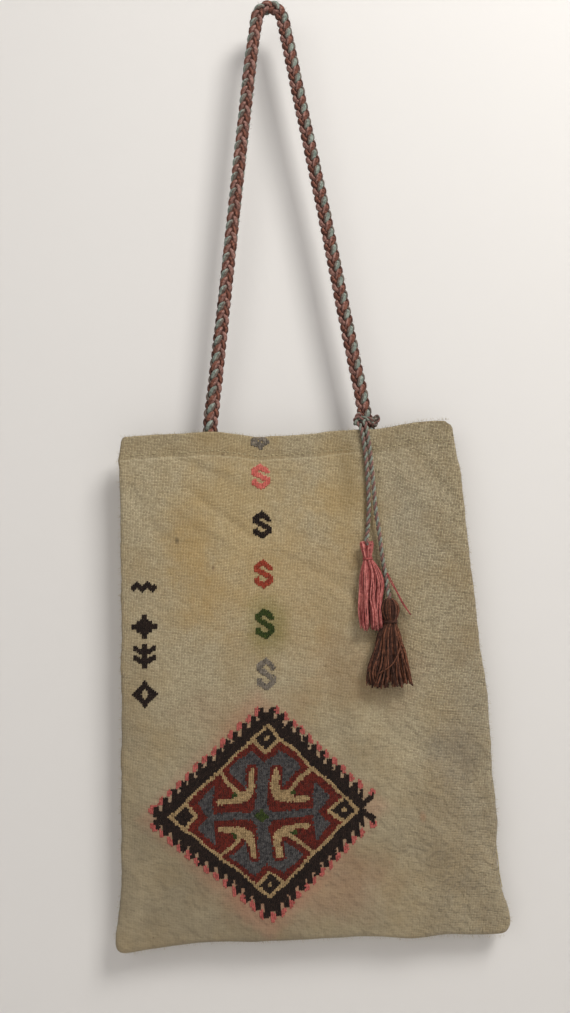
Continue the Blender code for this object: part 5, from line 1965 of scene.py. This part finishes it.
@dataclass
class Fuzz:
    """Loose hairs that stand off the strap and the cloth's edges."""

    form: BagForm
    radius: float = 0.00007
    seed: int = 5
    strap_reach: float = 0.0066
    strap_hairs: int = 2600
    strap_hair: float = 0.0030
    cloth_hairs: int = 1600
    cloth_hair: Place = (0.0012, 0.0040)

    def hair(self, weld: Weld, root: Vector, away: Vector, length: float, chance: random.Random) -> None:
        """Add one bent hair.

        Args:
            weld: The piece that it joins.
            root: Where it starts.
            away: The way that it mostly points.
            length: Its length.
            chance: What bends it.
        """
        bend = Vector((chance.uniform(-1, 1), chance.uniform(-1, 1), chance.uniform(-1.2, 0.8))) * 0.7
        tip = root + (away + bend).normalized() * length
        knee = root.lerp(tip, 0.5) + away * length * 0.18
        radii = [self.radius, self.radius * 0.8, self.radius * 0.4]
        weld.sweep([root, knee, tip], radii, 3, 0, Vector((0.37, 0.53, -0.76)))

    def on_strap(self, points: Points, yarns: Yarns) -> None:
        """Put hairs round the strap.

        Args:
            points: The strap's middle line.
            yarns: The dyed yarns.
        """
        weld = Weld("strap_hairs")
        chance = random.Random(f"{self.seed}{weld.name}")
        frames = frames_along(points, FRONT)
        for _ in range(self.strap_hairs):
            index = chance.randrange(len(points))
            turn = chance.uniform(0.0, math.tau)
            out, left = frames[index]
            away = math.cos(turn) * out + math.sin(turn) * left
            root = points[index] + away * self.strap_reach * 0.85
            self.hair(weld, root, away, self.strap_hair * chance.uniform(0.5, 1.4), chance)
        weld.finish("strap_yarn", yarns.pick("mauve"))

    def on_cloth(self, yarns: Yarns) -> None:
        """Put hairs on the cloth's rim, sides and base.

        Args:
            yarns: The dyed yarns.
        """
        chance = random.Random(self.seed)
        form = self.form
        weld = Weld("bag_cloth_hairs")
        for _ in range(self.cloth_hairs):
            pick = chance.random()
            if pick < 0.30:
                x = chance.uniform(*form.sides(0.0))
                root = Vector((x, form.front_y + 0.0015, form.rim(x) - 0.0004))
                away = Vector((0.0, -0.3, 1.0))
            elif pick < 0.55:
                x = chance.uniform(*form.sides(1.0))
                root = Vector((x, form.edge_y, form.base(x) + 0.0004))
                away = Vector((0.0, 0.0, -1.0))
            else:
                v, side = chance.uniform(0.02, 0.98), chance.choice((0, 1))
                x = form.sides(v)[side]
                low = form.rim(x) - form.hem_radius
                root = Vector((x, form.edge_y + form.lean(x, v)[1], low + (form.base(x) - low) * v))
                away = Vector((1.0 if side else -1.0, -0.2, 0.0))
            self.hair(weld, root, away.normalized(), chance.uniform(*self.cloth_hair), chance)
        weld.finish("undyed_cloth", yarns.pick("undyed_thread"))


@dataclass
class Studio:
    """The camera, the soft light, the pale floor and the backdrop."""

    eye: Triple = (-0.01238, -0.74, -0.62143)
    pitch: float = math.radians(7.0)
    roll: float = math.radians(-3.2)
    focal: float = 761.0
    picture_height: float = 1013.0
    sensor: float = 36.0
    floor_z: float = -1.060
    floor_half: float = 4.0
    backdrop_y: float = 0.027
    backdrop_z: float = -0.4
    backdrop_half: float = 0.66
    backdrop_lean: float = 0.022
    pale: Colour = dye(220, 217, 213)
    ambient: Colour = dye(236, 234, 236)
    ambient_strength: float = 0.35
    aim: Triple = (0.0, 0.0, -0.60)

    def camera(self) -> None:
        """Place the camera."""
        lens = bpy.data.cameras.new("view")
        lens.sensor_width = self.sensor
        lens.lens = self.focal / self.picture_height * self.sensor
        forward = Vector((0.0, math.cos(self.pitch), math.sin(self.pitch)))
        level_right = Vector((1.0, 0.0, 0.0))
        level_up = level_right.cross(forward)
        right = level_right * math.cos(self.roll) + level_up * math.sin(self.roll)
        up = level_up * math.cos(self.roll) - level_right * math.sin(self.roll)
        view = bpy.data.objects.new("view", lens)
        view.matrix_world = Matrix((right, up, -forward)).transposed().to_4x4()
        view.matrix_world.translation = Vector(self.eye)
        bpy.context.scene.collection.objects.link(view)
        bpy.context.scene.camera = view

    def lamp(self, name: str, place: Triple, size: float, power: float, colour: Colour) -> None:
        """Add a soft square lamp that faces the bag.

        Args:
            name: Its name.
            place: Where it stands.
            size: Its width.
            power: Its power in watts.
            colour: The colour of its light.
        """
        light = bpy.data.lights.new(name, "AREA")
        light.size = size
        light.energy = power
        light.color = colour
        lamp = bpy.data.objects.new(name, light)
        lamp.location = place
        lamp.rotation_euler = (Vector(self.aim) - Vector(place)).to_track_quat("-Z", "Y").to_euler()
        bpy.context.scene.collection.objects.link(lamp)

    def backdrop(self) -> None:
        """Add the floor, and an upright sheet that only the camera sees, and only from the front."""
        level, _, _ = new_material("pale_floor", {"Base Color": self.pale, "Roughness": 0.9})
        upright, sk, shader = new_material("pale_backdrop", {
            "Base Color": self.pale, "Roughness": 0.95, "Specular IOR Level": 0.0})
        seen = sk.read("ShaderNodeLightPath", "Is Camera Ray")
        hidden = sk.maths("MAXIMUM", sk.read("ShaderNodeNewGeometry", "Backfacing"), 1.0 - seen)
        shaders = {0: hidden, 1: Wire(sk, shader.outputs[0]), 2: sk.read("ShaderNodeBsdfTransparent", 0)}
        surface = upright.node_tree.nodes["Material Output"].inputs["Surface"]
        sk.feed(surface, sk.read("ShaderNodeMixShader", 0, shaders))
        for name, material, size, turn, place in (
                ("floor", level, self.floor_half, 0.0, (0.0, 0.0, self.floor_z)),
                ("backdrop", upright, self.backdrop_half, math.pi / 2 - self.backdrop_lean,
                 (0.0, self.backdrop_y, self.backdrop_z))):
            sheet = bmesh.new()
            bmesh.ops.create_grid(sheet, x_segments=2, y_segments=2, size=size)
            bmesh.ops.rotate(sheet, verts=sheet.verts, matrix=Matrix.Rotation(turn, 3, "X"))
            bmesh.ops.translate(sheet, verts=sheet.verts, vec=place)
            make_piece(name, sheet, [material])

    def light(self) -> None:
        """Light the bag softly from the upper right and front, over an even ambient light."""
        world = bpy.data.worlds.new("room")
        world.use_nodes = True
        ambient = world.node_tree.nodes["Background"].inputs
        ambient["Color"].default_value = (*self.ambient, 1.0)
        ambient["Strength"].default_value = self.ambient_strength
        bpy.context.scene.world = world
        self.lamp("window", (1.00, -1.24, 0.83), 0.80, 36.0, (1.0, 0.99, 0.97))
        self.lamp("fill", (-0.9, -1.7, -0.1), 1.4, 7.0, (1.0, 0.98, 0.96))
        self.lamp("back", (-0.5, 2.2, 0.5), 1.6, 12.0, (1.0, 0.99, 0.97))
        bpy.context.scene.view_settings.view_transform = "Standard"

    def build(self) -> None:
        """Set up the whole stage."""
        self.camera()
        self.backdrop()
        self.light()


def dress_kept_nodes(nodes: dict[str, Piece], yarns: Yarns) -> None:
    """Give the sewing threads inside the bag, which stay as they are, their finish.

    Args:
        nodes: The frame's nodes by name.
        yarns: The dyed yarns.
    """
    for name in ("side_seam_thread_left", "side_seam_thread_right", "strap_tack_left", "strap_tack_right"):
        nodes[name].data.materials.clear()
        nodes[name].data.materials.append(*yarns.pick("undyed_thread"))


def main() -> None:
    """Build the bag's looks on its frame."""
    logging.basicConfig(level=logging.INFO, format="%(message)s")
    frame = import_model()
    Studio().build()
    groups = Groups()
    yarns = Yarns(groups)
    form = BagForm()
    strap = Strap(form)
    Tails(form, strap, yarns).build()
    strap.build(yarns)
    medallion = Medallion()
    cloth = ClothBody(form).build(ClothFinish().material(groups, medallion.middle))
    stitcher = Stitcher(form, yarns)
    Hooks().build(stitcher)
    medallion.build(stitcher)
    HemStitches(form).build(yarns)
    dress_kept_nodes(frame["nodes"], yarns)
    fuzz = Fuzz(form)
    fuzz.on_strap(even_route(strap.route(), 0.004), yarns)
    fuzz.on_cloth(yarns)


if __name__ == "__main__":
    main()
